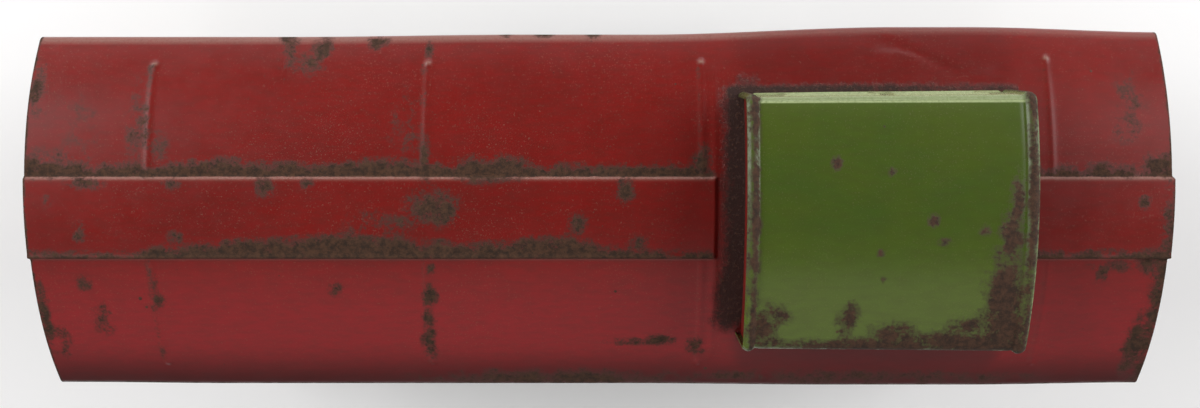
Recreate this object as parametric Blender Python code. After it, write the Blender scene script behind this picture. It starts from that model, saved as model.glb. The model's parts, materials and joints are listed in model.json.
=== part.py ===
"""A pressed-steel toy railway caboose: arched roof with a raised running board, ribs and a cupola,
a body with glazed windows and end platforms, an underframe, and two swivelling four-wheel trucks.

The car runs along X and its cupola is towards +X. Y is across it and Z is up. The origin is on the
surface it stands on, under the middle of the car. Sizes are in metres.
"""

import math

import bmesh
import bpy
from mathutils import Matrix, Vector

MM = 0.001

# Sheet metal, and the clearance left between fitted pieces
SHEET = 0.6 * MM
PLATE = 0.8 * MM
HEAVY_PLATE = 1.0 * MM
FIT = 0.3 * MM

# Roof
ROOF_LENGTH = 293.6 * MM
ROOF_WIDTH = 98 * MM
ROOF_RADIUS = 84 * MM
ROOF_LIP = 2.0 * MM
ROOF_FOLD = 1.5 * MM
ROOF_STEP = 5.5 * MM
BOARD_WIDTH = 20.8 * MM
BOARD_RISE = 1.0 * MM
BOARD_PAST_RIB = 2.8 * MM
EMBOSS_RAMP = 0.5 * MM
RIB_WIDTH = 2.4 * MM
RIB_RISE = 0.7 * MM
RIB_END_INSET = 31.3 * MM
RIB_EDGE_MARGIN = 9 * MM

# Cupola
CUPOLA_LENGTH = 70.5 * MM
CUPOLA_WIDTH = 64 * MM
CUPOLA_RISE = 17 * MM
CUPOLA_RADIUS = 95 * MM
CUPOLA_SHOULDER = 3.0 * MM
CUPOLA_RIB_GAP = 9.4 * MM
CUPOLA_BEAD_WIDTH = 2.8 * MM
CUPOLA_BEAD_RISE = 0.7 * MM
CUPOLA_WINDOW_LENGTH = 21 * MM
CUPOLA_WINDOW_HEIGHT = 7.5 * MM
CUPOLA_WINDOW_PITCH = 27 * MM
CUPOLA_END_WINDOW = 13 * MM
CUPOLA_END_PITCH = 21 * MM
CUPOLA_END_SILL = 3.2 * MM
CUPOLA_WELL_MARGIN = 9 * MM

# Body
EAVES = 10 * MM
WALL_HEIGHT = 55.4 * MM
PLATFORM = 28 * MM
WINDOW_LENGTH = 19 * MM
WINDOW_HEIGHT = 15 * MM
WINDOW_PITCH = 23.5 * MM
WINDOW_PAIR_AT = 62 * MM
WINDOW_SILL = 24 * MM
FRAME_BORDER = 3 * MM
GLAZING = 0.4 * MM
DOOR_WIDTH = 20 * MM
DOOR_HEIGHT = 39 * MM
DOOR_LAP = 2 * MM
DOOR_WINDOW = 12 * MM
END_WINDOW_WIDTH = 9 * MM
END_WINDOW_AT = 23 * MM
BOW_INSET = 9 * MM
BOW_WIDTH = 8 * MM
BOW_LEG = 9 * MM

# Underframe and platform fittings
ROOF_OVERHANG = 5.8 * MM
FRAME_LEDGE = 1.5 * MM
SILL_DEPTH = 9 * MM
DECK_CLEARANCE = 1.1 * MM
STEP_LENGTH = 9 * MM
STEP_WIDTH = 6 * MM
STEP_HEIGHT_OFF_GROUND = 14 * MM
STEP_MARGIN = 0.7 * MM
RAIL_HEIGHT = 24 * MM
RAIL_BAR = 1.6 * MM
RAIL_BAYS = 6
RAIL_INSET = 2.6 * MM
LADDER_WIDTH = 12 * MM
LADDER_AT = 27 * MM
LADDER_RUNGS = 7
LADDER_BAR = 1.3 * MM
LADDER_BELOW_ROOF = 1.2 * MM
STAFF_RADIUS = 1.1 * MM
STAFF_HEIGHT = 31 * MM
STAFF_INSET = 5.6 * MM
STAFF_AT = 27 * MM
BRAKE_WHEEL_RADIUS = 8 * MM
BRAKE_RIM = 1.5 * MM
BRAKE_SPOKES = 5
SPOKE_WIDTH = 1.3 * MM
SPOKE_THICKNESS = 1.2 * MM

# Trucks, wheels and couplers
TRUCK_SETBACK = 53 * MM
WHEELBASE = 50 * MM
TREAD_RADIUS = 14 * MM
FLANGE_DEPTH = 2 * MM
WHEEL_WIDTH = 7.8 * MM
WHEEL_BACKS = 49 * MM
WHEEL_SIDES = 24
AXLE_RADIUS = 2 * MM
JOURNAL_RADIUS = 1.6 * MM
JOURNAL_LENGTH = 3.5 * MM
JOURNAL_BOX = 9 * MM
JOURNAL_BOX_DEPTH = 4 * MM
WHEEL_CLEARANCE = 1.2 * MM
BOLSTER_WIDTH = 14 * MM
BOLSTER_DROP = 8 * MM
BOLSTER_ABOVE_AXLE = 14.1 * MM
TONGUE_WIDTH = 12 * MM
TONGUE_LENGTH = 44 * MM
PIN_CLEARANCE = 0.4 * MM
KING_PIN_RADIUS = 2.4 * MM
KING_PIN_HEAD = 4.5 * MM
SPACER_RADIUS = 7 * MM
COUPLER_PIN_RADIUS = 1.4 * MM
COUPLER_LENGTH = 30 * MM
COUPLER_WIDTH = 10 * MM
COUPLER_THICKNESS = 1.4 * MM
COUPLER_SLOT = (6 * MM, 5 * MM)
COUPLER_HOOK_WIDTH = 4.2 * MM
COUPLER_HOOK_DROP = 5 * MM

# Heights and half sizes that follow from those above
FLANGE_RADIUS = TREAD_RADIUS + FLANGE_DEPTH
AXLE_HEIGHT = FLANGE_RADIUS * math.cos(math.pi / WHEEL_SIDES)
SILL_BOTTOM = AXLE_HEIGHT + FLANGE_RADIUS + DECK_CLEARANCE
DECK_TOP = SILL_BOTTOM + SILL_DEPTH
DECK_UNDER = DECK_TOP - PLATE
WALL_FOOT = DECK_TOP + FIT
WALL_TOP = DECK_TOP + WALL_HEIGHT
ROOF_HALF_LENGTH = ROOF_LENGTH / 2
ROOF_HALF_WIDTH = ROOF_WIDTH / 2
BODY_HALF_WIDTH = ROOF_HALF_WIDTH - EAVES
FRAME_HALF_LENGTH = ROOF_HALF_LENGTH - ROOF_OVERHANG
FRAME_HALF_WIDTH = BODY_HALF_WIDTH + FRAME_LEDGE
BODY_HALF_LENGTH = FRAME_HALF_LENGTH - PLATFORM
ROOF_AXIS_Z = WALL_TOP + FIT - math.sqrt((ROOF_RADIUS - SHEET) ** 2 - BODY_HALF_WIDTH**2)
ROOF_CROWN = ROOF_AXIS_Z + ROOF_RADIUS
RIB_REACH = ROOF_HALF_WIDTH - RIB_EDGE_MARGIN
OUTER_RIB = ROOF_HALF_LENGTH - RIB_END_INSET
CUPOLA_X = OUTER_RIB - CUPOLA_RIB_GAP - CUPOLA_LENGTH / 2
CUPOLA_RIB = OUTER_RIB - 2 * CUPOLA_RIB_GAP - CUPOLA_LENGTH
RIBS = (-OUTER_RIB, (CUPOLA_RIB - OUTER_RIB) / 2, CUPOLA_RIB, OUTER_RIB)
REAR_RUN_END = CUPOLA_RIB + BOARD_PAST_RIB
FRONT_RUN_START = OUTER_RIB - BOARD_PAST_RIB
FACET_SAG = ROOF_STEP**2 / (8 * ROOF_RADIUS)
ARCH_FIT = FIT + FACET_SAG
CUPOLA_CROWN = ROOF_CROWN + CUPOLA_RISE
CUPOLA_AXIS_Z = CUPOLA_CROWN - CUPOLA_RADIUS
TRUCK_X = FRAME_HALF_LENGTH - TRUCK_SETBACK
WHEEL_FACE = WHEEL_BACKS / 2 + WHEEL_WIDTH
SIDE_FRAME_INNER = WHEEL_FACE + WHEEL_CLEARANCE
BOLSTER_TOP = AXLE_HEIGHT + BOLSTER_ABOVE_AXLE + HEAVY_PLATE
BOLSTER_UNDER = BOLSTER_TOP - HEAVY_PLATE
COUPLER_TOP = BOLSTER_UNDER - FIT
COUPLER_UNDER = COUPLER_TOP - COUPLER_THICKNESS
COUPLER_PIN_X = TRUCK_X + TONGUE_LENGTH
ENDS = (("front", 1), ("rear", -1))
SIDES = (("left", 1), ("right", -1))


# ---------------------------------------------------------------- scene helpers


def clear_scene():
    for old in list(bpy.data.objects):
        bpy.data.objects.remove(old, do_unlink=True)


def finish_of(name, colour, roughness, metallic=0.0, alpha=1.0):
    """A plain Principled material."""
    finish = bpy.data.materials.new(name)
    finish.use_nodes = True
    shader = finish.node_tree.nodes["Principled BSDF"]
    shader.inputs["Base Color"].default_value = (*colour, 1)
    shader.inputs["Roughness"].default_value = roughness
    shader.inputs["Metallic"].default_value = metallic
    shader.inputs["Alpha"].default_value = alpha
    finish.diffuse_color = (*colour, alpha)
    return finish


def place(name, bm, finish, smooth_below=None):
    """Makes a named object of the bmesh, with its faces pointing outwards."""
    bmesh.ops.recalc_face_normals(bm, faces=bm.faces)
    mesh = bpy.data.meshes.new(name)
    bm.to_mesh(mesh)
    bm.free()
    mesh.materials.append(finish)
    if smooth_below is not None:
        mesh.shade_smooth()
        mesh.set_sharp_from_angle(angle=math.radians(smooth_below))
    made = bpy.data.objects.new(name, mesh)
    bpy.context.scene.collection.objects.link(made)
    return made


def combine(target, tool, operation):
    """Adds tool to target, or cuts it away, with a Boolean modifier, and hides the tool."""
    boolean = target.modifiers.new(operation.lower(), "BOOLEAN")
    boolean.operation = operation
    boolean.solver = "EXACT"
    boolean.object = tool
    tool.hide_render = True
    tool.display_type = "WIRE"


# ---------------------------------------------------------------- shape helpers


def rectangle(low, high):
    """Four corners, anticlockwise."""
    return [(low[0], low[1]), (high[0], low[1]), (high[0], high[1]), (low[0], high[1])]


def circle(centre, radius, sides):
    """A polygon round centre."""
    turns = (2 * math.pi * k / sides for k in range(sides))
    return [(centre[0] + radius * math.cos(a), centre[1] + radius * math.sin(a)) for a in turns]


def arc_height(axis_z, radius, across):
    """The height of a lengthwise cylinder's surface at the distance across."""
    return axis_z + math.sqrt(radius**2 - across**2)


def arc_points(axis_z, radius, start, end, count):
    """Points (across, height) on a lengthwise cylinder, evenly spaced across."""
    steps = (start + (end - start) * k / (count - 1) for k in range(count))
    return [(y, arc_height(axis_z, radius, y)) for y in steps]


TURN_FOR = {
    "XY": Matrix.Identity(4),
    "XZ": Matrix.Rotation(math.pi / 2, 4, "X"),
    "YZ": Matrix.Rotation(math.pi / 2, 4, "Z") @ Matrix.Rotation(math.pi / 2, 4, "X"),
}
OUT_OF = {"XY": Vector((0, 0, 1)), "XZ": Vector((0, 1, 0)), "YZ": Vector((1, 0, 0))}


def plate_bmesh(outline, holes, plane, low, high):
    """A flat plate with holes, drawn in a plane, filling it between low and high along its normal."""
    bm = bmesh.new()
    edges = []
    for loop in (outline, *holes):
        corners = [bm.verts.new((a, b, 0)) for a, b in loop]
        edges += [bm.edges.new((corners[k - 1], corners[k])) for k in range(len(corners))]
    bmesh.ops.triangle_fill(bm, use_beauty=True, use_dissolve=False, edges=edges)
    grown = bmesh.ops.extrude_face_region(bm, geom=list(bm.faces))
    lifted = [part for part in grown["geom"] if isinstance(part, bmesh.types.BMVert)]
    bmesh.ops.transform(bm, matrix=TURN_FOR[plane], verts=bm.verts)
    normal = OUT_OF[plane]
    bmesh.ops.translate(bm, vec=normal * low, verts=[v for v in bm.verts if v not in set(lifted)])
    bmesh.ops.translate(bm, vec=normal * high, verts=lifted)
    return bm


def plate(name, outline, holes, plane, low, high, finish):
    return place(name, plate_bmesh(outline, holes, plane, low, high), finish)


def box(name, low, high, finish):
    """A rectangular block between two corners."""
    bm = bmesh.new()
    size = Vector(high) - Vector(low)
    middle = (Vector(high) + Vector(low)) / 2
    bmesh.ops.create_cube(bm, size=1, matrix=Matrix.Translation(middle) @ Matrix.Diagonal((*size, 1)))
    return place(name, bm, finish)


def turned(name, profile, centre, axis, sides, finish, closed=False):
    """A solid of revolution. The profile holds (radius, distance along the axis) points from centre.

    A closed profile is a loop clear of the axis, as for a ring; any other starts and ends on it.
    """
    bm = bmesh.new()
    along = {"Y": Vector((0, 1, 0)), "Z": Vector((0, 0, 1))}[axis]
    out = Vector((1, 0, 0))
    start = Matrix.Rotation(math.pi / sides, 3, along) @ out
    row = [bm.verts.new(start * radius + along * distance) for radius, distance in profile]
    pairs = list(zip(row, row[1:]))
    if closed:
        pairs.append((row[-1], row[0]))
    edges = [bm.edges.new(pair) for pair in pairs]
    bmesh.ops.spin(
        bm, geom=[*row, *edges], cent=(0, 0, 0), axis=along, angle=2 * math.pi, steps=sides, use_merge=True
    )
    bmesh.ops.remove_doubles(bm, verts=bm.verts, dist=0.01 * MM)
    bmesh.ops.translate(bm, vec=centre, verts=bm.verts)
    return place(name, bm, finish, smooth_below=35)


def arched_path(radius, axis_z, half_width, corner, foot_z, across, wall_heights=()):
    """The cross-section of an arched sheet with turned-down sides, as (point, outward normal) pairs.

    The arch is a circle about (0, axis_z). A corner of the given radius joins it to each upright side,
    which runs down to foot_z. across lists the places of the arch's own points.
    """
    corner_y = half_width - corner
    corner_z = axis_z + math.sqrt((radius - corner) ** 2 - corner_y**2)
    lean = math.atan2(corner_y, corner_z - axis_z)
    uprights = [foot_z, *wall_heights]
    side = [(Vector((0, half_width, z)), Vector((0, 1, 0))) for z in uprights]
    corner_steps = 3
    for k in range(corner_steps + 1):
        turn = math.pi / 2 + (lean - math.pi / 2) * k / corner_steps
        normal = Vector((0, math.sin(turn), math.cos(turn)))
        side.append((Vector((0, corner_y, corner_z)) + normal * corner, normal))
    edge = radius * math.sin(lean)
    arch = []
    for y in sorted(a for a in across if abs(a) < edge - 0.5 * MM):
        normal = Vector((0, y, math.sqrt(radius**2 - y**2))) / radius
        arch.append((Vector((0, 0, axis_z)) + normal * radius, normal))
    flip = Matrix.Diagonal((1, -1, 1))
    other_side = [(flip @ point, flip @ normal) for point, normal in side]
    return [*other_side, *arch, *reversed(side)]


def pressed_sheet(name, stations, path, emboss, is_solid, finish):
    """A sheet pressed over the path at each X station. emboss gives how far a point is pushed out."""
    bm = bmesh.new()
    outer, inner = [], []
    for x in stations:
        rows = [(Vector((x, 0, 0)) + p + n * emboss(x, p.y), n) for p, n in path]
        outer.append([point for point, normal in rows])
        inner.append([point - normal * SHEET for point, normal in rows])
    across, along = len(path) - 1, len(stations) - 1
    solid = {
        (i, j)
        for i in range(along)
        for j in range(across)
        if is_solid((outer[i][j] + outer[i + 1][j + 1]) / 2)
    }
    made = {}

    def corner(grid, i, j):
        key = (grid is outer, i, j)
        if key not in made:
            made[key] = bm.verts.new(grid[i][j])
        return made[key]

    for i, j in solid:
        cell = [(i, j), (i + 1, j), (i + 1, j + 1), (i, j + 1)]
        bm.faces.new([corner(outer, *c) for c in cell])
        bm.faces.new([corner(inner, *c) for c in reversed(cell)])
        neighbours = [(i, j - 1), (i + 1, j), (i, j + 1), (i - 1, j)]
        for side, neighbour in enumerate(neighbours):
            if neighbour in solid:
                continue
            a, b = cell[side], cell[(side + 1) % 4]
            bm.faces.new([corner(outer, *b), corner(outer, *a), corner(inner, *a), corner(inner, *b)])
    return place(name, bm, finish, smooth_below=30)


def merged(features, fillers, least=1.5 * MM):
    """The feature lines, and those filler lines that aren't close to one."""
    kept = sorted(set(round(f, 7) for f in features))
    return sorted([*kept, *(f for f in fillers if all(abs(f - k) > least for k in kept))])


def evenly(low, high, step):
    """Places from low to high, no more than step apart."""
    count = max(1, math.ceil((high - low) / step))
    return [low + (high - low) * k / count for k in range(count + 1)]


# ---------------------------------------------------------------- roof and cupola


def ramp(distance):
    """0 outside an embossed edge, rising to 1 over the ramp inside it."""
    return min(1.0, max(0.0, distance / EMBOSS_RAMP))


def roof_emboss(x, y):
    """How far the running board and the ribs stand out of the roof. Each run of the board has one end."""
    board = max(ramp(REAR_RUN_END - x), ramp(x - FRONT_RUN_START)) * ramp(BOARD_WIDTH / 2 - abs(y))
    height = BOARD_RISE * board
    if BOARD_WIDTH / 2 < abs(y) < RIB_REACH:
        for rib in RIBS:
            share = min(1.0, abs(x - rib) / (RIB_WIDTH / 2))
            height = max(height, RIB_RISE * (1 - share**2) * ramp(RIB_REACH - abs(y)))
    return height


def roof(finish):
    """The arched roof, open under the cupola so that its windows light the inside."""
    well = CUPOLA_LENGTH / 2 - CUPOLA_WELL_MARGIN
    well_width = CUPOLA_WIDTH / 2 - CUPOLA_WELL_MARGIN
    x_lines = [-ROOF_HALF_LENGTH, ROOF_HALF_LENGTH, CUPOLA_X - well, CUPOLA_X + well]
    x_lines += [rib + RIB_WIDTH * share for rib in RIBS for share in (-0.5, -0.25, 0, 0.25, 0.5)]
    x_lines += [REAR_RUN_END, REAR_RUN_END - EMBOSS_RAMP, FRONT_RUN_START, FRONT_RUN_START + EMBOSS_RAMP]
    half_board = BOARD_WIDTH / 2
    y_lines = [well_width, half_board, half_board - EMBOSS_RAMP, RIB_REACH, RIB_REACH - EMBOSS_RAMP]
    y_lines += [-y for y in y_lines] + [0.0]
    corner_z = ROOF_AXIS_Z + math.sqrt((ROOF_RADIUS - ROOF_FOLD) ** 2 - (ROOF_HALF_WIDTH - ROOF_FOLD) ** 2)
    path = arched_path(
        ROOF_RADIUS, ROOF_AXIS_Z, ROOF_HALF_WIDTH, ROOF_FOLD, corner_z - ROOF_LIP,
        merged(y_lines, evenly(-ROOF_HALF_WIDTH, ROOF_HALF_WIDTH, ROOF_STEP)),
    )
    return pressed_sheet(
        "roof", merged(x_lines, []), path, roof_emboss,
        lambda at: abs(at.x - CUPOLA_X) > well or abs(at.y) > well_width, finish,
    )


def cupola_bead(x, y):
    """The rolled bead along each end of the cupola shell, which is as high all the way round."""
    from_end = CUPOLA_LENGTH / 2 - abs(x - CUPOLA_X)
    share = (from_end - CUPOLA_BEAD_WIDTH / 2) / (CUPOLA_BEAD_WIDTH / 2)
    return CUPOLA_BEAD_RISE * max(0.0, 1 - share**2)


def cupola_window_z():
    """The lowest and highest height of the cupola's side windows."""
    half = CUPOLA_WIDTH / 2
    foot = arc_height(ROOF_AXIS_Z, ROOF_RADIUS, half - SHEET) + FIT
    head = arc_height(CUPOLA_AXIS_Z, CUPOLA_RADIUS, half) - CUPOLA_SHOULDER
    middle = (foot + head) / 2
    return foot, middle - CUPOLA_WINDOW_HEIGHT / 2, middle + CUPOLA_WINDOW_HEIGHT / 2


def cupola_window_xs():
    """(start, end) of each window along a cupola side."""
    centres = (CUPOLA_X - CUPOLA_WINDOW_PITCH / 2, CUPOLA_X + CUPOLA_WINDOW_PITCH / 2)
    return [(x - CUPOLA_WINDOW_LENGTH / 2, x + CUPOLA_WINDOW_LENGTH / 2) for x in centres]


def cupola_shell(finish):
    """The cupola's sides and arched top, folded from one sheet, with two windows in each side."""
    foot, sill, head = cupola_window_z()
    half = CUPOLA_LENGTH / 2
    edges = [CUPOLA_BEAD_WIDTH * share for share in (0, 0.25, 0.5, 0.75, 1)]
    x_lines = [CUPOLA_X - half + e for e in edges] + [CUPOLA_X + half - e for e in edges]
    x_lines += [x for window in cupola_window_xs() for x in window]
    path = arched_path(
        CUPOLA_RADIUS, CUPOLA_AXIS_Z, CUPOLA_WIDTH / 2, CUPOLA_SHOULDER, foot,
        evenly(-CUPOLA_WIDTH / 2, CUPOLA_WIDTH / 2, ROOF_STEP), (sill, head),
    )

    def is_solid(at):
        beside = abs(at.y) > CUPOLA_WIDTH / 2 - SHEET
        glazed = sill < at.z < head and any(low < at.x < high for low, high in cupola_window_xs())
        return not (beside and glazed)

    return pressed_sheet("cupola_shell", merged(x_lines, []), path, cupola_bead, is_solid, finish)


def cupola_ends(finish):
    """The upright end walls, set inside the beads, shaped to the roof below and the shell above."""
    half_width = CUPOLA_WIDTH / 2 - SHEET - FIT
    under = CUPOLA_RADIUS - SHEET - ARCH_FIT
    shoulder = CUPOLA_SHOULDER
    top = arc_points(CUPOLA_AXIS_Z, under, half_width - shoulder, shoulder - half_width, 11)
    low_edge = arc_points(ROOF_AXIS_Z, ROOF_RADIUS + ARCH_FIT, -half_width, half_width, 13)
    drop = top[0][1] - shoulder
    outline = [*low_edge, (half_width, drop), *top, (-half_width, drop)]
    sill = ROOF_CROWN + CUPOLA_END_SILL
    half_window = CUPOLA_END_WINDOW / 2
    windows = [
        rectangle((y - half_window, sill), (y + half_window, sill + CUPOLA_WINDOW_HEIGHT))
        for y in (-CUPOLA_END_PITCH / 2, CUPOLA_END_PITCH / 2)
    ]
    for label, way in ENDS:
        face = CUPOLA_X + way * (CUPOLA_LENGTH / 2 - CUPOLA_BEAD_WIDTH / 2)
        low, high = sorted((face, face - way * SHEET))
        plate(f"cupola_end_{label}", outline, windows, "YZ", low, high, finish)


# ---------------------------------------------------------------- body


def window_spans():
    """(start, end) along X of every side window, and its pair's centre."""
    spans = []
    for pair in (-WINDOW_PAIR_AT, WINDOW_PAIR_AT):
        for x in (pair - WINDOW_PITCH / 2, pair + WINDOW_PITCH / 2):
            spans.append((x - WINDOW_LENGTH / 2, x + WINDOW_LENGTH / 2, pair))
    return spans


def body_sides(finish):
    sill = DECK_TOP + WINDOW_SILL
    holes = [rectangle((a, sill), (b, sill + WINDOW_HEIGHT)) for a, b, _ in window_spans()]
    outline = rectangle((-BODY_HALF_LENGTH, WALL_FOOT), (BODY_HALF_LENGTH, WALL_TOP))
    for label, way in SIDES:
        low, high = sorted((way * BODY_HALF_WIDTH, way * (BODY_HALF_WIDTH - PLATE)))
        plate(f"body_side_{label}", outline, holes, "XZ", low, high, finish)


def body_ends(finish):
    """The end walls, arched to the roof, each with a doorway between two small windows."""
    half = BODY_HALF_WIDTH - PLATE - FIT
    top = arc_points(ROOF_AXIS_Z, ROOF_RADIUS - SHEET - ARCH_FIT, half, -half, 15)
    outline = [(-half, WALL_FOOT), (half, WALL_FOOT), *top]
    sill = DECK_TOP + WINDOW_SILL
    doorway = rectangle((-DOOR_WIDTH / 2, WALL_FOOT + DOOR_LAP), (DOOR_WIDTH / 2, WALL_FOOT + DOOR_HEIGHT))
    windows = [
        rectangle((y - END_WINDOW_WIDTH / 2, sill), (y + END_WINDOW_WIDTH / 2, sill + WINDOW_HEIGHT))
        for y in (-END_WINDOW_AT, END_WINDOW_AT)
    ]
    for label, way in ENDS:
        low, high = sorted((way * BODY_HALF_LENGTH, way * (BODY_HALF_LENGTH - PLATE)))
        plate(f"body_end_{label}", outline, [doorway, *windows], "YZ", low, high, finish)


def doors(finish):
    """A door behind each doorway, lapping its edge, with a window at head height."""
    reach = DOOR_WIDTH / 2 + DOOR_LAP
    outline = rectangle((-reach, WALL_FOOT), (reach, WALL_FOOT + DOOR_HEIGHT + DOOR_LAP))
    sill = DECK_TOP + WINDOW_SILL
    window = rectangle((-DOOR_WINDOW / 2, sill), (DOOR_WINDOW / 2, sill + DOOR_WINDOW))
    for label, way in ENDS:
        face = BODY_HALF_LENGTH - PLATE - FIT
        low, high = sorted((way * face, way * (face - PLATE)))
        plate(f"door_{label}", outline, [window], "YZ", low, high, finish)


def window_frames(finish):
    """One brass frame for each pair of side windows."""
    sill = DECK_TOP + WINDOW_SILL
    head = sill + WINDOW_HEIGHT
    inset = FRAME_BORDER / 3
    for side, way in SIDES:
        for end, pair in (("front", WINDOW_PAIR_AT), ("rear", -WINDOW_PAIR_AT)):
            spans = [(a, b) for a, b, centre in window_spans() if centre == pair]
            start, finish_x = spans[0][0] - FRAME_BORDER, spans[-1][1] + FRAME_BORDER
            outline = rectangle((start, sill - FRAME_BORDER), (finish_x, head + FRAME_BORDER))
            holes = [rectangle((a + inset, sill + inset), (b - inset, head - inset)) for a, b in spans]
            low, high = sorted(way * (BODY_HALF_WIDTH + FIT + t) for t in (0, PLATE))
            plate(f"window_frame_{side}_{end}", outline, holes, "XZ", low, high, finish)


def side_glazing(finish):
    """One clear sheet behind the windows of each side."""
    sill = DECK_TOP + WINDOW_SILL
    reach = window_spans()[-1][1] + FRAME_BORDER
    for label, way in SIDES:
        outer = BODY_HALF_WIDTH - PLATE - FIT
        low, high = sorted((way * outer, way * (outer - GLAZING)))
        box(
            f"glazing_{label}",
            (-reach, low, sill - FRAME_BORDER),
            (reach, high, sill + WINDOW_HEIGHT + FRAME_BORDER),
            finish,
        )


def roof_bows(finish):
    """Two arched straps that tie the roof to the tops of the side walls, on the inside."""
    outer = BODY_HALF_WIDTH - PLATE - FIT
    inner = outer - HEAVY_PLATE
    top = ROOF_RADIUS - SHEET - ARCH_FIT
    upper = arc_points(ROOF_AXIS_Z, top, outer, -outer, 15)
    lower = arc_points(ROOF_AXIS_Z, top - HEAVY_PLATE, -inner, inner, 15)
    foot = WALL_TOP - BOW_LEG
    outline = [(outer, foot), *upper, (-outer, foot), (-inner, foot), *lower, (inner, foot)]
    for label, way in ENDS:
        centre = way * (BODY_HALF_LENGTH - BOW_INSET)
        low, high = centre - BOW_WIDTH / 2, centre + BOW_WIDTH / 2
        plate(f"roof_bow_{label}", outline, [], "YZ", low, high, finish)


# ---------------------------------------------------------------- underframe and platforms


def underframe(finish):
    """The deck with turned-down sills all round: an upside-down tray with a hole for each king pin."""
    low = Vector((-FRAME_HALF_LENGTH, -FRAME_HALF_WIDTH, SILL_BOTTOM))
    high = Vector((FRAME_HALF_LENGTH, FRAME_HALF_WIDTH, DECK_TOP))
    bm = bmesh.new()
    size, middle = high - low, (high + low) / 2
    bmesh.ops.create_cube(bm, size=1, matrix=Matrix.Translation(middle) @ Matrix.Diagonal((*size, 1)))
    under = [face for face in bm.faces if face.normal.z < -0.5]
    bmesh.ops.inset_individual(bm, faces=under, thickness=PLATE, use_even_offset=True)
    bmesh.ops.translate(bm, vec=(0, 0, SILL_DEPTH - PLATE), verts=under[0].verts)
    tray = place("underframe", bm, finish)
    for label, way in ENDS:
        hole = turned(
            f"king_pin_hole_{label}",
            [(0, -SILL_DEPTH), (KING_PIN_RADIUS + PIN_CLEARANCE, -SILL_DEPTH),
             (KING_PIN_RADIUS + PIN_CLEARANCE, SILL_DEPTH), (0, SILL_DEPTH)],
            (way * TRUCK_X, 0, DECK_TOP), "Z", 16, finish,
        )
        combine(tray, hole, "DIFFERENCE")


def corner_steps(finish):
    """A bent strap with two treads under each corner of the platforms."""
    end_x = FRAME_HALF_LENGTH - PLATE - STEP_MARGIN
    top = DECK_UNDER - FIT
    foot = STEP_HEIGHT_OFF_GROUND
    middle = (top + foot) / 2
    outline = rectangle((end_x - STEP_LENGTH, foot), (end_x, top))
    inner_low, inner_high = end_x - STEP_LENGTH + PLATE, end_x - PLATE
    holes = [
        rectangle((inner_low, foot + PLATE), (inner_high, middle - PLATE / 2)),
        rectangle((inner_low, middle + PLATE / 2), (inner_high, top - PLATE)),
    ]
    outer_y = FRAME_HALF_WIDTH - PLATE - FIT
    for end, lengthwise in ENDS:
        loops = [[(lengthwise * a, b) for a, b in loop] for loop in (outline, *holes)]
        for side, way in SIDES:
            low, high = sorted((way * outer_y, way * (outer_y - STEP_WIDTH)))
            plate(f"step_{end}_{side}", loops[0], loops[1:], "XZ", low, high, finish)


def railings(finish):
    """A stamped railing across each platform end: two rows of bays between posts and bars."""
    half = BODY_HALF_WIDTH - STEP_MARGIN
    outline = rectangle((-half, WALL_FOOT), (half, WALL_FOOT + RAIL_HEIGHT))
    bay = (2 * half - RAIL_BAR * (RAIL_BAYS + 1)) / RAIL_BAYS
    row = (RAIL_HEIGHT - 3 * RAIL_BAR) / 2
    holes = []
    for column in range(RAIL_BAYS):
        y = -half + RAIL_BAR + column * (bay + RAIL_BAR)
        for level in range(2):
            z = WALL_FOOT + RAIL_BAR + level * (row + RAIL_BAR)
            holes.append(rectangle((y, z), (y + bay, z + row)))
    for label, way in ENDS:
        face = FRAME_HALF_LENGTH - RAIL_INSET
        low, high = sorted((way * face, way * (face - PLATE)))
        plate(f"end_railing_{label}", outline, holes, "YZ", low, high, finish)


def ladders(finish):
    """A ladder from each platform to the underside of the roof, outside the railing."""
    outer_y = LADDER_AT + LADDER_WIDTH / 2
    top = arc_height(ROOF_AXIS_Z, ROOF_RADIUS - SHEET, outer_y) - LADDER_BELOW_ROOF
    pitch = (top - WALL_FOOT - LADDER_BAR) / LADDER_RUNGS
    for label, way in ENDS:
        centre = way * LADDER_AT
        low_y, high_y = centre - LADDER_WIDTH / 2, centre + LADDER_WIDTH / 2
        holes = []
        for rung in range(LADDER_RUNGS):
            z = WALL_FOOT + LADDER_BAR + rung * pitch
            holes.append(rectangle((low_y + LADDER_BAR, z), (high_y - LADDER_BAR, z + pitch - LADDER_BAR)))
        face = FRAME_HALF_LENGTH - RAIL_INSET + FIT + PLATE
        low, high = sorted((way * face, way * (face - PLATE)))
        outline = rectangle((low_y, WALL_FOOT), (high_y, top))
        plate(f"ladder_{label}", outline, holes, "YZ", low, high, finish)


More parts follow.
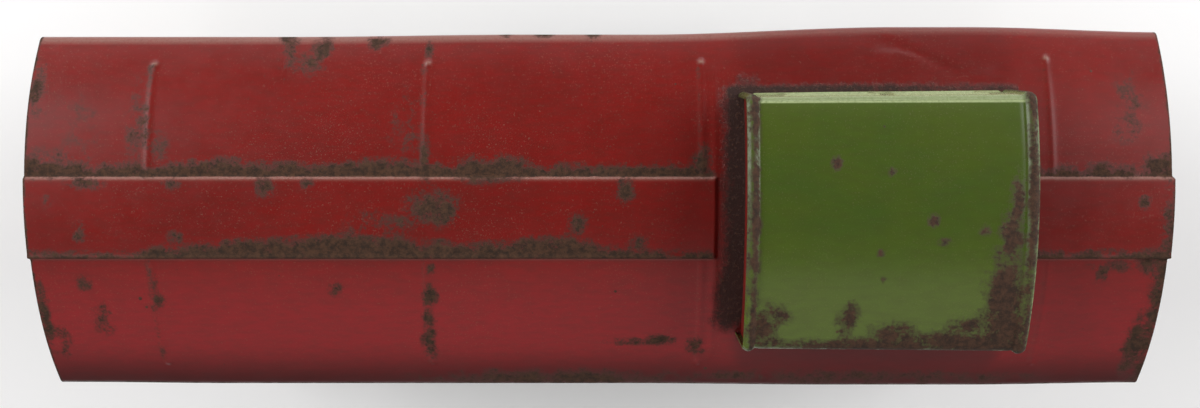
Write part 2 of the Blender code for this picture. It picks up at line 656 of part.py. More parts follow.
def brake_stands(staff_finish, wheel_finish):
    """A brake staff on each platform, with a spoked wheel that turns on its top."""
    top = WALL_FOOT + STAFF_HEIGHT
    seat = top - 4 * MM
    pivot = 0.7 * STAFF_RADIUS
    bore = pivot + PIN_CLEARANCE / 2
    hub = 2.4 * MM
    rim = BRAKE_WHEEL_RADIUS - BRAKE_RIM
    for label, way in ENDS:
        at = Vector((way * (FRAME_HALF_LENGTH - RAIL_INSET - PLATE - STAFF_INSET), -way * STAFF_AT, 0))
        staff = [
            (0, WALL_FOOT), (2 * STAFF_RADIUS, WALL_FOOT), (2 * STAFF_RADIUS, WALL_FOOT + 2 * MM),
            (STAFF_RADIUS, WALL_FOOT + 3 * MM), (STAFF_RADIUS, seat), (pivot, seat), (pivot, top), (0, top),
        ]
        turned(f"brake_staff_{label}", staff, at, "Z", 10, staff_finish)
        low, high = seat + FIT, top - FIT
        ring = [(rim, low + FIT), (BRAKE_WHEEL_RADIUS, low + FIT), (BRAKE_WHEEL_RADIUS, high), (rim, high)]
        wheel = turned(f"brake_wheel_{label}", ring, at, "Z", 20, wheel_finish, closed=True)
        hub_ring = [(bore, low), (hub, low), (hub, high), (bore, high)]
        centre = turned(f"brake_hub_{label}", hub_ring, at, "Z", 12, wheel_finish, closed=True)
        start, end = (bore + hub) / 2, rim + BRAKE_RIM / 2
        middle = Matrix.Translation(((start + end) / 2, 0, (low + high) / 2))
        bar = middle @ Matrix.Diagonal((end - start, SPOKE_WIDTH, SPOKE_THICKNESS, 1))
        for spoke in range(BRAKE_SPOKES):
            bm = bmesh.new()
            turn = Matrix.Rotation(2 * math.pi * spoke / BRAKE_SPOKES, 4, "Z")
            bmesh.ops.create_cube(bm, size=1, matrix=Matrix.Translation(at) @ turn @ bar)
            combine(wheel, place(f"brake_spoke_{label}_{spoke}", bm, wheel_finish), "UNION")
        combine(wheel, centre, "UNION")


# ---------------------------------------------------------------- trucks and couplers


def bolster(label, way, finish):
    """The truck's cross channel with the tongue that carries the coupler."""
    half_x, half_y = BOLSTER_WIDTH / 2, SIDE_FRAME_INNER - FIT
    tongue_y = TONGUE_WIDTH / 2
    nose = TONGUE_LENGTH + tongue_y * 0.7
    shape = [
        (-half_x, -half_y), (half_x, -half_y), (half_x, -tongue_y), (nose, -tongue_y), (nose, tongue_y),
        (half_x, tongue_y), (half_x, half_y), (-half_x, half_y),
    ]
    holes = [
        circle((0, 0), KING_PIN_RADIUS + PIN_CLEARANCE, 16),
        circle((TONGUE_LENGTH, 0), COUPLER_PIN_RADIUS + PIN_CLEARANCE, 12),
    ]
    outline, *cuts = [[(way * (TRUCK_X + a), b) for a, b in loop] for loop in (shape, *holes)]
    channel = plate(f"truck_bolster_{label}", outline, cuts, "XY", BOLSTER_UNDER, BOLSTER_TOP, finish)
    for edge, sign in (("in", -1), ("out", 1)):
        face = TRUCK_X + sign * half_x
        low, high = sorted((way * face, way * (face - sign * HEAVY_PLATE)))
        flange = box(
            f"bolster_flange_{label}_{edge}",
            (low, -half_y, BOLSTER_UNDER - BOLSTER_DROP),
            (high, half_y, BOLSTER_UNDER + HEAVY_PLATE / 2),
            finish,
        )
        combine(channel, flange, "UNION")


def side_frame(name, truck_x, way, finish):
    """A pressed arch-bar side frame with a journal box over each axle end."""
    half = WHEELBASE / 2
    end = half + JOURNAL_BOX / 2 + 3.5 * MM
    z = AXLE_HEIGHT
    box_half = JOURNAL_BOX / 2
    outline = [
        (-end, z - 3 * MM), (-end, z + 3 * MM), (-half - 2 * MM, z + 6.5 * MM), (-half / 2, z + 11 * MM),
        (half / 2, z + 11 * MM), (half + 2 * MM, z + 6.5 * MM), (end, z + 3 * MM), (end, z - 3 * MM),
        (half + box_half, z - 5.5 * MM), (half - box_half, z - 5.5 * MM), (half / 3, z - 8 * MM),
        (-half / 3, z - 8 * MM), (-half + box_half, z - 5.5 * MM), (-half - box_half, z - 5.5 * MM),
    ]
    window = [
        (box_half - half + 2 * MM, z - 2.5 * MM), (-half / 3, z - 4 * MM),
        (-half / 3, z + 7 * MM), (box_half - half + 2 * MM, z + 4 * MM),
    ]
    holes = [window, [(-a, b) for a, b in window]]
    outline, *cuts = [[(truck_x + a, b) for a, b in loop] for loop in (outline, *holes)]
    inner = SIDE_FRAME_INNER
    outer = inner + HEAVY_PLATE
    low, high = sorted((way * inner, way * outer))
    frame = plate(name, outline, cuts, "XZ", low, high, finish)
    for index, axle in enumerate((truck_x - half, truck_x + half)):
        low, high = sorted((way * (inner + HEAVY_PLATE / 2), way * (outer + JOURNAL_BOX_DEPTH)))
        corners = (axle - box_half, low, z - box_half), (axle + box_half, high, z + box_half)
        journal = box(f"{name}_journal_{index}", *corners, finish)
        combine(frame, journal, "UNION")
    for index, axle in enumerate((truck_x - half, truck_x + half)):
        bore = JOURNAL_RADIUS + PIN_CLEARANCE
        depth = JOURNAL_LENGTH + WHEEL_CLEARANCE
        hole = turned(
            f"{name}_bore_{index}", [(0, -depth), (bore, -depth), (bore, depth), (0, depth)],
            (axle, way * inner, z), "Y", 12, finish,
        )
        combine(frame, hole, "DIFFERENCE")


def wheelset(label, axle_x, axle_finish, wheel_finish):
    """An axle and its two flanged wheels."""
    at = Vector((axle_x, 0, AXLE_HEIGHT))
    shoulder = SIDE_FRAME_INNER - FIT
    tip = shoulder + JOURNAL_LENGTH
    half = [(0, -tip), (JOURNAL_RADIUS, -tip), (JOURNAL_RADIUS, -shoulder), (AXLE_RADIUS, -shoulder)]
    turned(f"axle_{label}", [*half, *((r, -y) for r, y in reversed(half))], at, "Y", 12, axle_finish)
    bore = AXLE_RADIUS + FIT
    hub = bore + 2.4 * MM
    rim = TREAD_RADIUS - 1.9 * MM
    back = WHEEL_BACKS / 2
    web_back, web_face = back + 2.6 * MM, back + 5.2 * MM
    profile = [
        (bore, back), (hub, back), (hub + 0.5 * MM, web_back), (rim - 0.7 * MM, web_back), (rim, back),
        (FLANGE_RADIUS, back + 0.3 * MM), (FLANGE_RADIUS - 0.2 * MM, back + 1.6 * MM),
        (TREAD_RADIUS + 0.2 * MM, back + 2.1 * MM), (TREAD_RADIUS, WHEEL_FACE), (rim, WHEEL_FACE),
        (rim - 0.7 * MM, web_face), (hub + 0.5 * MM, web_face), (hub, WHEEL_FACE), (bore, WHEEL_FACE),
    ]
    for side, way in SIDES:
        points = [(radius, way * distance) for radius, distance in profile]
        turned(f"wheel_{label}_{side}", points, at, "Y", WHEEL_SIDES, wheel_finish, closed=True)


def king_pin(label, way, finish):
    """The stud the truck turns on, headed inside the body and under the bolster."""
    foot = BOLSTER_UNDER - FIT
    thick = 1.6 * MM
    r, head = KING_PIN_RADIUS, KING_PIN_HEAD
    top = DECK_TOP + FIT
    profile = [
        (0, foot - thick), (head * 0.8, foot - thick), (head, foot - thick / 2), (head, foot), (r, foot),
        (r, top), (head, top), (head, top + thick / 2), (head * 0.7, top + thick), (0, top + thick),
    ]
    turned(f"king_pin_{label}", profile, (way * TRUCK_X, 0, 0), "Z", 16, finish)


def truck_spacer(label, way, finish):
    """The ring that carries the deck on the bolster, round the king pin."""
    bore = KING_PIN_RADIUS + PIN_CLEARANCE
    low, high = BOLSTER_TOP + FIT, DECK_UNDER - FIT
    profile = [(bore, low), (SPACER_RADIUS, low), (SPACER_RADIUS, high), (bore, high)]
    turned(f"truck_spacer_{label}", profile, (way * TRUCK_X, 0, 0), "Z", 20, finish, closed=True)


def coupler(label, way, finish):
    """A drop-hook coupler: a bar with a pin hole, a slot and a turned-down hook at its end."""
    half = COUPLER_WIDTH / 2
    tail = half * 0.9
    slot_length, slot_width = COUPLER_SLOT
    slot_end = COUPLER_LENGTH - COUPLER_THICKNESS - 3 * MM
    nose = COUPLER_LENGTH
    shape = [
        (-tail, -half * 0.5), (-tail * 0.5, -half), (nose - half, -half), (nose, -half * 0.5),
        (nose, half * 0.5), (nose - half, half), (-tail * 0.5, half), (-tail, half * 0.5),
    ]
    holes = [
        circle((0, 0), COUPLER_PIN_RADIUS + PIN_CLEARANCE, 12),
        rectangle((slot_end - slot_length, -slot_width / 2), (slot_end, slot_width / 2)),
    ]
    outline, *cuts = [[(way * (COUPLER_PIN_X + a), b) for a, b in loop] for loop in (shape, *holes)]
    bar = plate(f"coupler_{label}", outline, cuts, "XY", COUPLER_UNDER, COUPLER_TOP, finish)
    tip = COUPLER_PIN_X + COUPLER_LENGTH
    low, high = sorted((way * tip, way * (tip - COUPLER_THICKNESS)))
    hook = box(
        f"coupler_hook_{label}",
        (low, -COUPLER_HOOK_WIDTH / 2, COUPLER_UNDER - COUPLER_HOOK_DROP),
        (high, COUPLER_HOOK_WIDTH / 2, COUPLER_TOP - COUPLER_THICKNESS / 2),
        finish,
    )
    combine(bar, hook, "UNION")


def coupler_pin(label, way, finish):
    """The rivet that holds the coupler to the truck's tongue."""
    r, head, thick = COUPLER_PIN_RADIUS, COUPLER_PIN_RADIUS * 1.9, 0.7 * MM
    foot, top = COUPLER_UNDER - FIT, BOLSTER_TOP + FIT
    profile = [
        (0, foot - thick), (head * 0.7, foot - thick), (head, foot), (r, foot), (r, top), (head, top),
        (head * 0.7, top + thick), (0, top + thick),
    ]
    turned(f"coupler_pin_{label}", profile, (way * COUPLER_PIN_X, 0, 0), "Z", 12, finish)


def trucks(black, steel, nickel):
    for label, way in ENDS:
        bolster(label, way, black)
        for side, across in SIDES:
            side_frame(f"truck_side_{label}_{side}", way * TRUCK_X, across, black)
        for place_name, offset in (("outer", WHEELBASE / 2), ("inner", -WHEELBASE / 2)):
            wheelset(f"{label}_{place_name}", way * (TRUCK_X + offset), steel, nickel)
        king_pin(label, way, steel)
        truck_spacer(label, way, steel)
        coupler(label, way, nickel)
        coupler_pin(label, way, steel)


def main():
    clear_scene()
    red = finish_of("roof_red", (0.20, 0.02, 0.018), 0.4)
    green = finish_of("cupola_green", (0.07, 0.11, 0.02), 0.4)
    body_green = finish_of("body_green", (0.07, 0.11, 0.02), 0.4)
    door_red = finish_of("door_red", (0.20, 0.02, 0.018), 0.4)
    black = finish_of("frame_black", (0.015, 0.014, 0.013), 0.45)
    brass = finish_of("brass", (0.6, 0.42, 0.16), 0.35, 1.0)
    nickel = finish_of("nickel", (0.55, 0.53, 0.48), 0.3, 1.0)
    steel = finish_of("steel", (0.4, 0.39, 0.37), 0.4, 1.0)
    clear = finish_of("celluloid", (0.8, 0.78, 0.65), 0.1, alpha=0.35)
    roof(red)
    cupola_shell(green)
    cupola_ends(red)
    body_sides(body_green)
    body_ends(body_green)
    doors(door_red)
    window_frames(brass)
    side_glazing(clear)
    roof_bows(steel)
    underframe(black)
    corner_steps(brass)
    railings(brass)
    ladders(brass)
    brake_stands(brass, black)
    trucks(black, steel, nickel)


main()
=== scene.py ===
"""Fine surfaces, finishes, light and camera of a pressed-steel toy caboose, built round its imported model.

Lengths are in metres. The car runs along X with its cupola towards +X, and stands on Z = 0.
"""

import json
import math

import bmesh
import bpy
import numpy as np
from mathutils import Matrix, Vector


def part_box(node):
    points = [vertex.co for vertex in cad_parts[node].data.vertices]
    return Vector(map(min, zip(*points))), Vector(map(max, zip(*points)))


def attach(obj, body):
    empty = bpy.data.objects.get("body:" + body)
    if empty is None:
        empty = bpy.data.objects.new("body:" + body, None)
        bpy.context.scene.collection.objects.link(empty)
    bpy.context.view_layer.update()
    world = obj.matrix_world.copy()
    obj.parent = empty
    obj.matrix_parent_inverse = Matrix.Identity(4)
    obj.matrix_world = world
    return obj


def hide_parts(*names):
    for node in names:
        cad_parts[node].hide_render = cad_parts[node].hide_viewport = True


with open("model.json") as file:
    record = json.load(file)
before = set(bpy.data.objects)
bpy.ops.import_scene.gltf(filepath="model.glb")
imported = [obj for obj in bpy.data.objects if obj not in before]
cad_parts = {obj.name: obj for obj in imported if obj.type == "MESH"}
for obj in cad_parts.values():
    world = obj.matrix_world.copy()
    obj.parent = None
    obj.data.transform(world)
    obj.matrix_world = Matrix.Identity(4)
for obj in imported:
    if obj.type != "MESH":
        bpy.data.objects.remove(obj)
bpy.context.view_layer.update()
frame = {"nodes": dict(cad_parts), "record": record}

MM = 0.001
ENDS = (("front", 1), ("rear", -1))
SIDES = (("left", 1), ("right", -1))


def box_of(node):
    """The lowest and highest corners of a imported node, as arrays."""
    low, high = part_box(node)
    return np.array(low), np.array(high)


# ---------------------------------------------------------------- mesh making


def graded(low, high, coarse, fine, near, reach):
    """Places from low to high, coarse apart, and fine apart within reach of each place in near.

    How many places lie below x is the integral of 1 / spacing, which is inverted at whole numbers.
    """
    x = np.linspace(low, high, 6001)
    closeness = np.exp(-(((x[:, None] - np.array(near)) / reach) ** 2)).max(1)
    rate = 1 / coarse + (1 / fine - 1 / coarse) * closeness
    count = np.concatenate([[0], np.cumsum((rate[1:] + rate[:-1]) / 2 * np.diff(x))])
    return np.interp(np.linspace(0, count[-1], int(count[-1]) + 2), count, x)


def smooth(value, low, high):
    """0 below low and 1 above high, with the smooth cubic 3 t^2 - 2 t^3 between."""
    t = np.clip((value - low) / (high - low), 0, 1)
    return t * t * (3 - 2 * t)


def hump(distance, width):
    """1 in the middle, falling as a bell of this half width."""
    return np.exp(-((distance / width) ** 2))


def grid_quads(rows, columns, wrap_rows=False, wrap_columns=False):
    """Corner numbers of every cell of a grid, whose last row or column may meet its first."""
    i = np.arange(rows if wrap_rows else rows - 1)[:, None]
    j = np.arange(columns if wrap_columns else columns - 1)[None, :]
    k, m = (i + 1) % rows, (j + 1) % columns
    corners = [i * columns + j, k * columns + j, k * columns + m, i * columns + m]
    return np.stack(np.broadcast_arrays(*corners), -1).reshape(-1, 4)


def thick(outer, inner, keep=None):
    """A closed sheet between two grids of points of one shape, as points and quads.

    Every kept cell has a quad on both sides, and a wall where the cell next to it isn't kept.
    """
    rows, columns = outer.shape[:2]
    if keep is None:
        keep = np.ones((rows - 1, columns - 1), bool)
    number = np.arange(rows * columns).reshape(rows, columns)
    back = rows * columns
    a, b, c, d = number[:-1, :-1], number[1:, :-1], number[1:, 1:], number[:-1, 1:]
    front = np.stack([a, b, c, d], -1)[keep]
    faces = [front, front[:, ::-1] + back]
    around = np.pad(keep, 1)
    for down, across, first, second in ((0, -1, a, b), (1, 0, b, c), (0, 1, c, d), (-1, 0, d, a)):
        beside = around[1 + down : rows + down, 1 + across : columns + across]
        p, q = first[keep & ~beside], second[keep & ~beside]
        faces.append(np.stack([q, p, p + back, q + back], -1))
    return np.concatenate([outer.reshape(-1, 3), inner.reshape(-1, 3)]), np.concatenate(faces)


def joined(parts):
    """Several (points, quads) shapes as one."""
    starts = np.cumsum([0] + [len(points) for points, _ in parts[:-1]])
    points = np.concatenate([points for points, _ in parts])
    return points, np.concatenate([quads + start for start, (_, quads) in zip(starts, parts)])


AXES = {
    "X": np.array([(0, 1, 0), (0, 0, 1), (1, 0, 0)], float),
    "Y": np.array([(0, 0, 1), (1, 0, 0), (0, 1, 0)], float),
    "Z": np.array([(1, 0, 0), (0, 1, 0), (0, 0, 1)], float),
}


def rounded(profile, radius, closed=False, steps=4):
    """The profile with each corner replaced by a short parabola that starts radius before it."""
    profile = np.array(profile, float)
    before, after = np.roll(profile, 1, 0), np.roll(profile, -1, 0)
    made = []
    for k, (p, corner, q) in enumerate(zip(before, profile, after)):
        if not closed and k in (0, len(profile) - 1):
            made.append(corner[None])
            continue
        into, out = p - corner, q - corner
        length_in, length_out = np.linalg.norm(into), np.linalg.norm(out)
        start = corner + into * min(radius, 0.45 * length_in) / length_in
        end = corner + out * min(radius, 0.45 * length_out) / length_out
        t = np.linspace(0, 1, steps)[:, None]
        made.append((1 - t) ** 2 * start + 2 * t * (1 - t) * corner + t**2 * end)
    return np.concatenate(made)


def turned(profile, centre, axis, sides=64, closed=False, relief=None):
    """A profile of (radius, height) points turned about an axis through centre.

    relief(radius, height, angle) may raise the surface along the axis.
    """
    profile = np.array(profile, float)
    angle = np.arange(sides) * 2 * math.pi / sides
    radius, height = profile[:, :1], np.repeat(profile[:, 1:], sides, 1)
    if relief is not None:
        height = height + relief(radius, height, angle[None, :])
    u, v, w = AXES[axis]
    out = np.cos(angle)[None, :, None] * u + np.sin(angle)[None, :, None] * v
    points = np.array(centre) + radius[:, :, None] * out + height[:, :, None] * w
    return points.reshape(-1, 3), grid_quads(len(profile), sides, wrap_rows=closed, wrap_columns=True)


def tube(path, radius, sides=12, up=(0, 0, 1), closed=False):
    """A circle of the given radius carried along a path, with flat ends drawn in to a point.

    The circle's plane is set by the path's direction and by up, which the path never follows.
    """
    path = np.array(path, float)
    radius = np.broadcast_to(radius, len(path)).astype(float)
    if closed:
        direction = np.roll(path, -1, 0) - np.roll(path, 1, 0)
    else:
        direction = np.gradient(path, axis=0)
        direction = np.concatenate([direction[:1], direction, direction[-1:]])
        path = np.concatenate([path[:1], path, path[-1:]])
        radius = np.concatenate([[0], radius, [0]])
    direction /= np.linalg.norm(direction, axis=1, keepdims=True)
    first = np.cross(direction, up)
    first /= np.linalg.norm(first, axis=1, keepdims=True)
    second = np.cross(direction, first)
    angle = np.arange(sides) * 2 * math.pi / sides
    ring = np.cos(angle)[None, :, None] * first[:, None] + np.sin(angle)[None, :, None] * second[:, None]
    points = path[:, None] + radius[:, None, None] * ring
    return points.reshape(-1, 3), grid_quads(len(path), sides, wrap_rows=closed, wrap_columns=True)


def rod(start, end, radius, sides=12):
    """A straight round bar whose ends are drawn in a little."""
    start, end = np.array(start, float), np.array(end, float)
    along = (end - start) / np.linalg.norm(end - start)
    inset = 0.35 * radius
    path = [start, start + along * inset, end - along * inset, end]
    up = (0, 0, 1) if abs(along[2]) < 0.7 else (1, 0, 0)
    return tube(path, [0.65 * radius, radius, radius, 0.65 * radius], sides, up)


def domes(centres, outward, radius, height):
    """A low round rivet head on each centre: height * cos(t) over radius * sin(t)."""
    outward = np.array(outward, float)
    side = np.array((0, 0, 1.0)) if abs(outward[2]) < 0.7 else np.array((1.0, 0, 0))
    other = np.cross(outward, side)
    tilt = np.linspace(0, math.pi / 2, 4)[:, None, None]
    angle = (np.arange(8) * math.pi / 4)[None, :, None]
    head = radius * np.sin(tilt) * (np.cos(angle) * side + np.sin(angle) * other)
    head = head + height * np.cos(tilt) * outward
    foot = head[-1:] - 0.5 * height * outward
    closing = foot * 0 - 0.5 * height * outward
    head = np.concatenate([head, foot, closing]).reshape(-1, 3)
    quads = grid_quads(6, 8, wrap_columns=True)
    return joined([(head + np.array(centre), quads) for centre in centres])


def shape(name, points, quads, finish, crease=38, **fields):
    """A mesh object of this shape: doubles merged, loose points dropped, faces turned outwards.

    fields are numbers for each point, stored as attributes that the finish reads.
    """
    mesh = bpy.data.meshes.new(name)
    mesh.vertices.add(len(points))
    mesh.vertices.foreach_set("co", points.astype(np.float32).ravel())
    mesh.loops.add(quads.size)
    mesh.loops.foreach_set("vertex_index", quads.astype(np.int32).ravel())
    mesh.polygons.add(len(quads))
    mesh.polygons.foreach_set("loop_start", np.arange(0, quads.size, 4, dtype=np.int32))
    mesh.update(calc_edges=True)
    for field, values in fields.items():
        layer = mesh.attributes.new(field, "FLOAT", "POINT")
        layer.data.foreach_set("value", np.ravel(values).astype(np.float32))
    bm = bmesh.new()
    bm.from_mesh(mesh)
    bmesh.ops.remove_doubles(bm, verts=bm.verts, dist=0.002 * MM)
    bmesh.ops.delete(bm, geom=[v for v in bm.verts if not v.link_faces], context="VERTS")
    bmesh.ops.recalc_face_normals(bm, faces=bm.faces)
    bm.to_mesh(mesh)
    bm.free()
    mesh.shade_smooth()
    mesh.set_sharp_from_angle(angle=math.radians(crease))
    mesh.materials.append(finish)
    made = bpy.data.objects.new(name, mesh)
    bpy.context.scene.collection.objects.link(made)
    return made


def fit(piece, body, slot, *nodes):
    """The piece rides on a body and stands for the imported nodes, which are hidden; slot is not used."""
    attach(piece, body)
    if nodes:
        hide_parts(*nodes)
    return piece


def softened(node, body, slot, finish, radius=0.25 * MM, segments=2):
    """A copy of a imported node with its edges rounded, which stands for it."""
    mesh = frame["nodes"][node].data.copy()
    bm = bmesh.new()
    bm.from_mesh(mesh)
    bmesh.ops.remove_doubles(bm, verts=bm.verts, dist=0.002 * MM)
    bmesh.ops.dissolve_limit(bm, angle_limit=math.radians(1), verts=bm.verts, edges=bm.edges)
    bmesh.ops.recalc_face_normals(bm, faces=bm.faces)
    bm.to_mesh(mesh)
    bm.free()
    mesh.name = f"fine_{node}"
    mesh.materials.clear()
    mesh.materials.append(finish)
    mesh.shade_smooth()
    made = bpy.data.objects.new(f"fine_{node}", mesh)
    bpy.context.scene.collection.objects.link(made)
    bevel = made.modifiers.new("rounded_edges", "BEVEL")
    bevel.width = radius
    bevel.segments = segments
    bevel.limit_method = "ANGLE"
    bevel.angle_limit = math.radians(40)
    bevel.harden_normals = True
    return fit(made, body, slot, node)


# ---------------------------------------------------------------- finishes


def linear(red, green, blue):
    """A display colour of 0 to 255 as linear light, with an alpha of 1."""
    shares = (c / 255 for c in (red, green, blue))
    return (*(c / 12.92 if c < 0.04045 else ((c + 0.055) / 1.055) ** 2.4 for c in shares), 1.0)


class Wire:
    """One output of a material's node graph. Sums, differences and products of wires add Math nodes."""

    def __init__(self, finish, socket):
        self.finish = finish
        self.socket = socket

    def maths(self, operation, first, second):
        return self.finish.node("Math", {"operation": operation}, {0: first, 1: second})

    def __add__(self, other):
        return self.maths("ADD", self, other)

    def __sub__(self, other):
        return self.maths("SUBTRACT", self, other)

    def __rsub__(self, other):
        return self.maths("SUBTRACT", other, self)

    def __mul__(self, other):
        return self.maths("MULTIPLY", self, other)

    def most(self, other):
        return self.maths("MAXIMUM", self, other)

    __radd__ = __add__
    __rmul__ = __mul__


class Finish:
    """A Principled material whose pattern is set in the piece's own coordinates."""

    def __init__(self, name, **constants):
        self.material = bpy.data.materials.new(name)
        self.material.use_nodes = True
        self.tree = self.material.node_tree
        self.shader = self.tree.nodes["Principled BSDF"]
        for socket, value in constants.items():
            self.shader.inputs[socket.replace("_", " ")].default_value = value
        self.place = self.node("TexCoord", output="Object")

    def node(self, kind, settings=None, inputs=None, output=0):
        """Adds a node, sets it up, then gives each input its value or its wire."""
        made = self.tree.nodes.new("ShaderNode" + kind)
        for setting, value in (settings or {}).items():
            setattr(made, setting, value)
        for socket, value in (inputs or {}).items():
            if isinstance(value, Wire):
                self.tree.links.new(value.socket, made.inputs[socket])
            else:
                made.inputs[socket].default_value = value
        return Wire(self, made.outputs[output])

    def feed(self, socket, wire):
        self.tree.links.new(wire.socket, self.shader.inputs[socket])

    def field(self, name):
        """A number stored on the piece's points, or 0 where the piece has none."""
        return self.node("Attribute", {"attribute_name": name}, output="Fac")

    def noise(self, size, detail=3.0, roughness=0.55, seed=0.0, stretch=(1, 1, 1)):
        """Cloudy noise from 0 to 1, whose features are about size across."""
        scale = tuple(s / size for s in stretch)
        shift = (seed * 3.7, seed * 1.3, seed * 2.9)
        spot = self.node("VectorMath", {"operation": "MULTIPLY_ADD"}, {0: self.place, 1: scale, 2: shift})
        settings = {"Vector": spot, "Scale": 1.0, "Detail": detail, "Roughness": roughness}
        return self.node("TexNoise", {}, settings)

    def grains(self, size, seed=0.0):
        """The distance to the nearest of many scattered points that are about size apart."""
        shift = (seed * 2.1, seed * 5.3, seed * 1.7)
        scale = (1 / size,) * 3
        spot = self.node("VectorMath", {"operation": "MULTIPLY_ADD"}, {0: self.place, 1: scale, 2: shift})
        return self.node("TexVoronoi", {}, {"Vector": spot, "Scale": 1.0}, output="Distance")

    def step(self, value, low, high):
        """0 below low and 1 above high, smoothly."""
        ends = {"Value": value, "From Min": low, "From Max": high}
        return self.node("MapRange", {"interpolation_type": "SMOOTHSTEP"}, ends)

    def mix(self, share, first, second):
        """The colour first where share is 0, and second where it is 1."""
        return self.node("Mix", {"data_type": "RGBA"}, {0: share, 6: first, 7: second}, output=2)

    def bump(self, height, distance):
        """Tilts the surface as a relief of this height would, which is distance deep where it is 1."""
        self.feed("Normal", self.node("Bump", {}, {"Strength": 1.0, "Distance": distance, "Height": height}))


def rust_colour(finish, seed):
    """Old rust: dark umber with brown and a little orange in finer and finer blotches."""
    brown = finish.step(finish.noise(1.6 * MM, 6, 0.75, seed), 0.36, 0.64)
    orange = finish.step(finish.noise(0.6 * MM, 3, 0.6, seed + 1), 0.6, 0.8) * 0.5
    return finish.mix(orange, finish.mix(brown, RUST_DARK, RUST_BROWN), RUST_ORANGE)


RUST_DARK = linear(45, 30, 20)
RUST_BROWN = linear(76, 50, 34)
RUST_ORANGE = linear(98, 64, 40)
# Pale paint worn by rubbing, also laid on as painted highlights
PALE_RUB_AND_HIGHLIGHT_RED = linear(142, 104, 92)
PALE_RUB_AND_HIGHLIGHT_GREEN = linear(172, 184, 136)
# Near-black of packed deposits and of painted contact shadow
GRIME_AND_SHADE_BLACK = linear(30, 17, 9)
# Dark red of painted shade on the roof
PAINTED_SHADE_RED = linear(52, 13, 11)
DUST = linear(134, 100, 80)


def enamel(name, colour, shade, sheen_colour, under, wear=0.0, gloss=0.34, dust=0.3, rub_and_highlight_colour=PALE_RUB_AND_HIGHLIGHT_RED):
    """Baked enamel over steel, worn, and marked with painted light, as the piece's fields say.

    Rust stains the paint and then eats through it, black deposits mixed with painted contact shadow blacken
    it, painted shade dims it evenly, a painted sheen makes it paler and pinker, and painted highlights mixed
    with wear turn it pale.
    shade is the colour in its darker clouds, the colour after it is the paint under its painted sheen, and
    under is what a thin film of rust makes of it.
    """
    f = Finish(name, Specular_IOR_Level=0.38)
    rust = f.field("rust") + wear
    blotches = (f.noise(4.6 * MM, 8, 0.72, 1) - 0.5) * 2.1 + (f.noise(0.8 * MM, 3, 0.6, 2) - 0.5) * 0.8
    edge = rust + blotches * f.step(rust, 0.0, 0.3)
    bare = f.step(edge, 0.4, 0.72)
    stained = f.step(edge, 0.12, 0.5)
    specks = f.step(f.noise(0.42 * MM, 2, 0.5, 4) + f.noise(30 * MM, 3, 0.5, 14) * 0.16, 0.7, 0.82)
    pits = f.step(0.13 - f.grains(3.6 * MM, 5) + (f.noise(12 * MM, 3, 0.6, 6) - 0.66) * 0.8, 0.0, 0.08)
    clouds = f.step(f.noise(30 * MM, 5, 0.6, 7, (1, 1.6, 1)), 0.3, 0.7)
    # A painted sheen: paler, pinker paint where the piece's field asks for it
    paint = f.mix(f.field("fade"), f.mix(clouds * 0.6, colour, shade), sheen_colour)
    paint = f.mix(f.step(f.noise(1.4 * MM, 5, 0.7, 8, (0.3, 1, 1)), 0.3, 0.75) * 0.3, paint, under)
    paint = f.mix(specks * dust, paint, DUST)
    # Painted highlights and paint worn pale by rubbing, in a broken film
    rub_and_highlight = f.field("rub_and_highlight") * (f.step(f.noise(0.7 * MM, 4, 0.7, 16), 0.2, 0.6) * 0.5 + 0.5)
    # Painted shade dims the paint evenly, then the pale film of painted highlights and wear goes over it
    paint = f.mix(rub_and_highlight, f.mix(f.field("painted_shade"), paint, PAINTED_SHADE_RED), rub_and_highlight_colour)
    paint = f.mix(stained * 0.75, paint, under)
    worn = bare.most(pits * 0.9)
    whole = f.mix(worn, paint, rust_colour(f, 9))
    # Black deposits and painted contact shadow, in granular blotches where the piece's field sets them
    dark_grime_and_shade = f.field("grime_and_shade")
    dark_grime_and_shade = f.step(dark_grime_and_shade + blotches * 0.6 * f.step(dark_grime_and_shade, 0.0, 0.3), 0.1, 0.85)
    crumbs = f.step(f.noise(0.9 * MM, 4, 0.7, 15), 0.5, 0.66)
    whole = f.mix(dark_grime_and_shade * 0.92, whole, f.mix(crumbs * 0.7, GRIME_AND_SHADE_BLACK, RUST_BROWN))
    f.feed("Base Color", whole)
    dull = f.noise(5 * MM, 3, 0.6, 11) * 0.16 + stained * 0.2 + worn * 0.4 + dark_grime_and_shade * 0.4 + specks * 0.2
    f.feed("Roughness", dull + (gloss - 0.08))
    grain = f.noise(0.55 * MM, 4, 0.65, 12)
    f.bump(grain * (worn.most(dark_grime_and_shade) * 0.9 + 0.04) + (1 - worn) * 0.2 + dark_grime_and_shade * crumbs * 1.5, 0.08 * MM)
    return f.material


def metal(name, colour, tarnish, gloss, spread=0.5):
    """Plated or bare metal with darker tarnish in clouds and in fine specks."""
    f = Finish(name, Metallic=1.0)
    clouds = f.noise(7 * MM, 5, 0.65, 1) + (f.noise(1.1 * MM, 3, 0.6, 2) - 0.5) * 0.5
    dull = f.step(clouds, 0.42, 0.95 - spread * 0.3)
    specks = f.step(f.noise(0.5 * MM, 2, 0.5, 3), 0.66, 0.74)
    tone = f.mix(dull * 0.85, colour, tarnish)
    f.feed("Base Color", f.mix(specks * 0.6, tone, RUST_DARK))
    f.feed("Metallic", 1 - specks * 0.8)
    f.feed("Roughness", dull * 0.3 + specks * 0.3 + gloss)
    f.bump(f.noise(0.7 * MM, 3, 0.6, 4), 0.015 * MM)
    return f.material


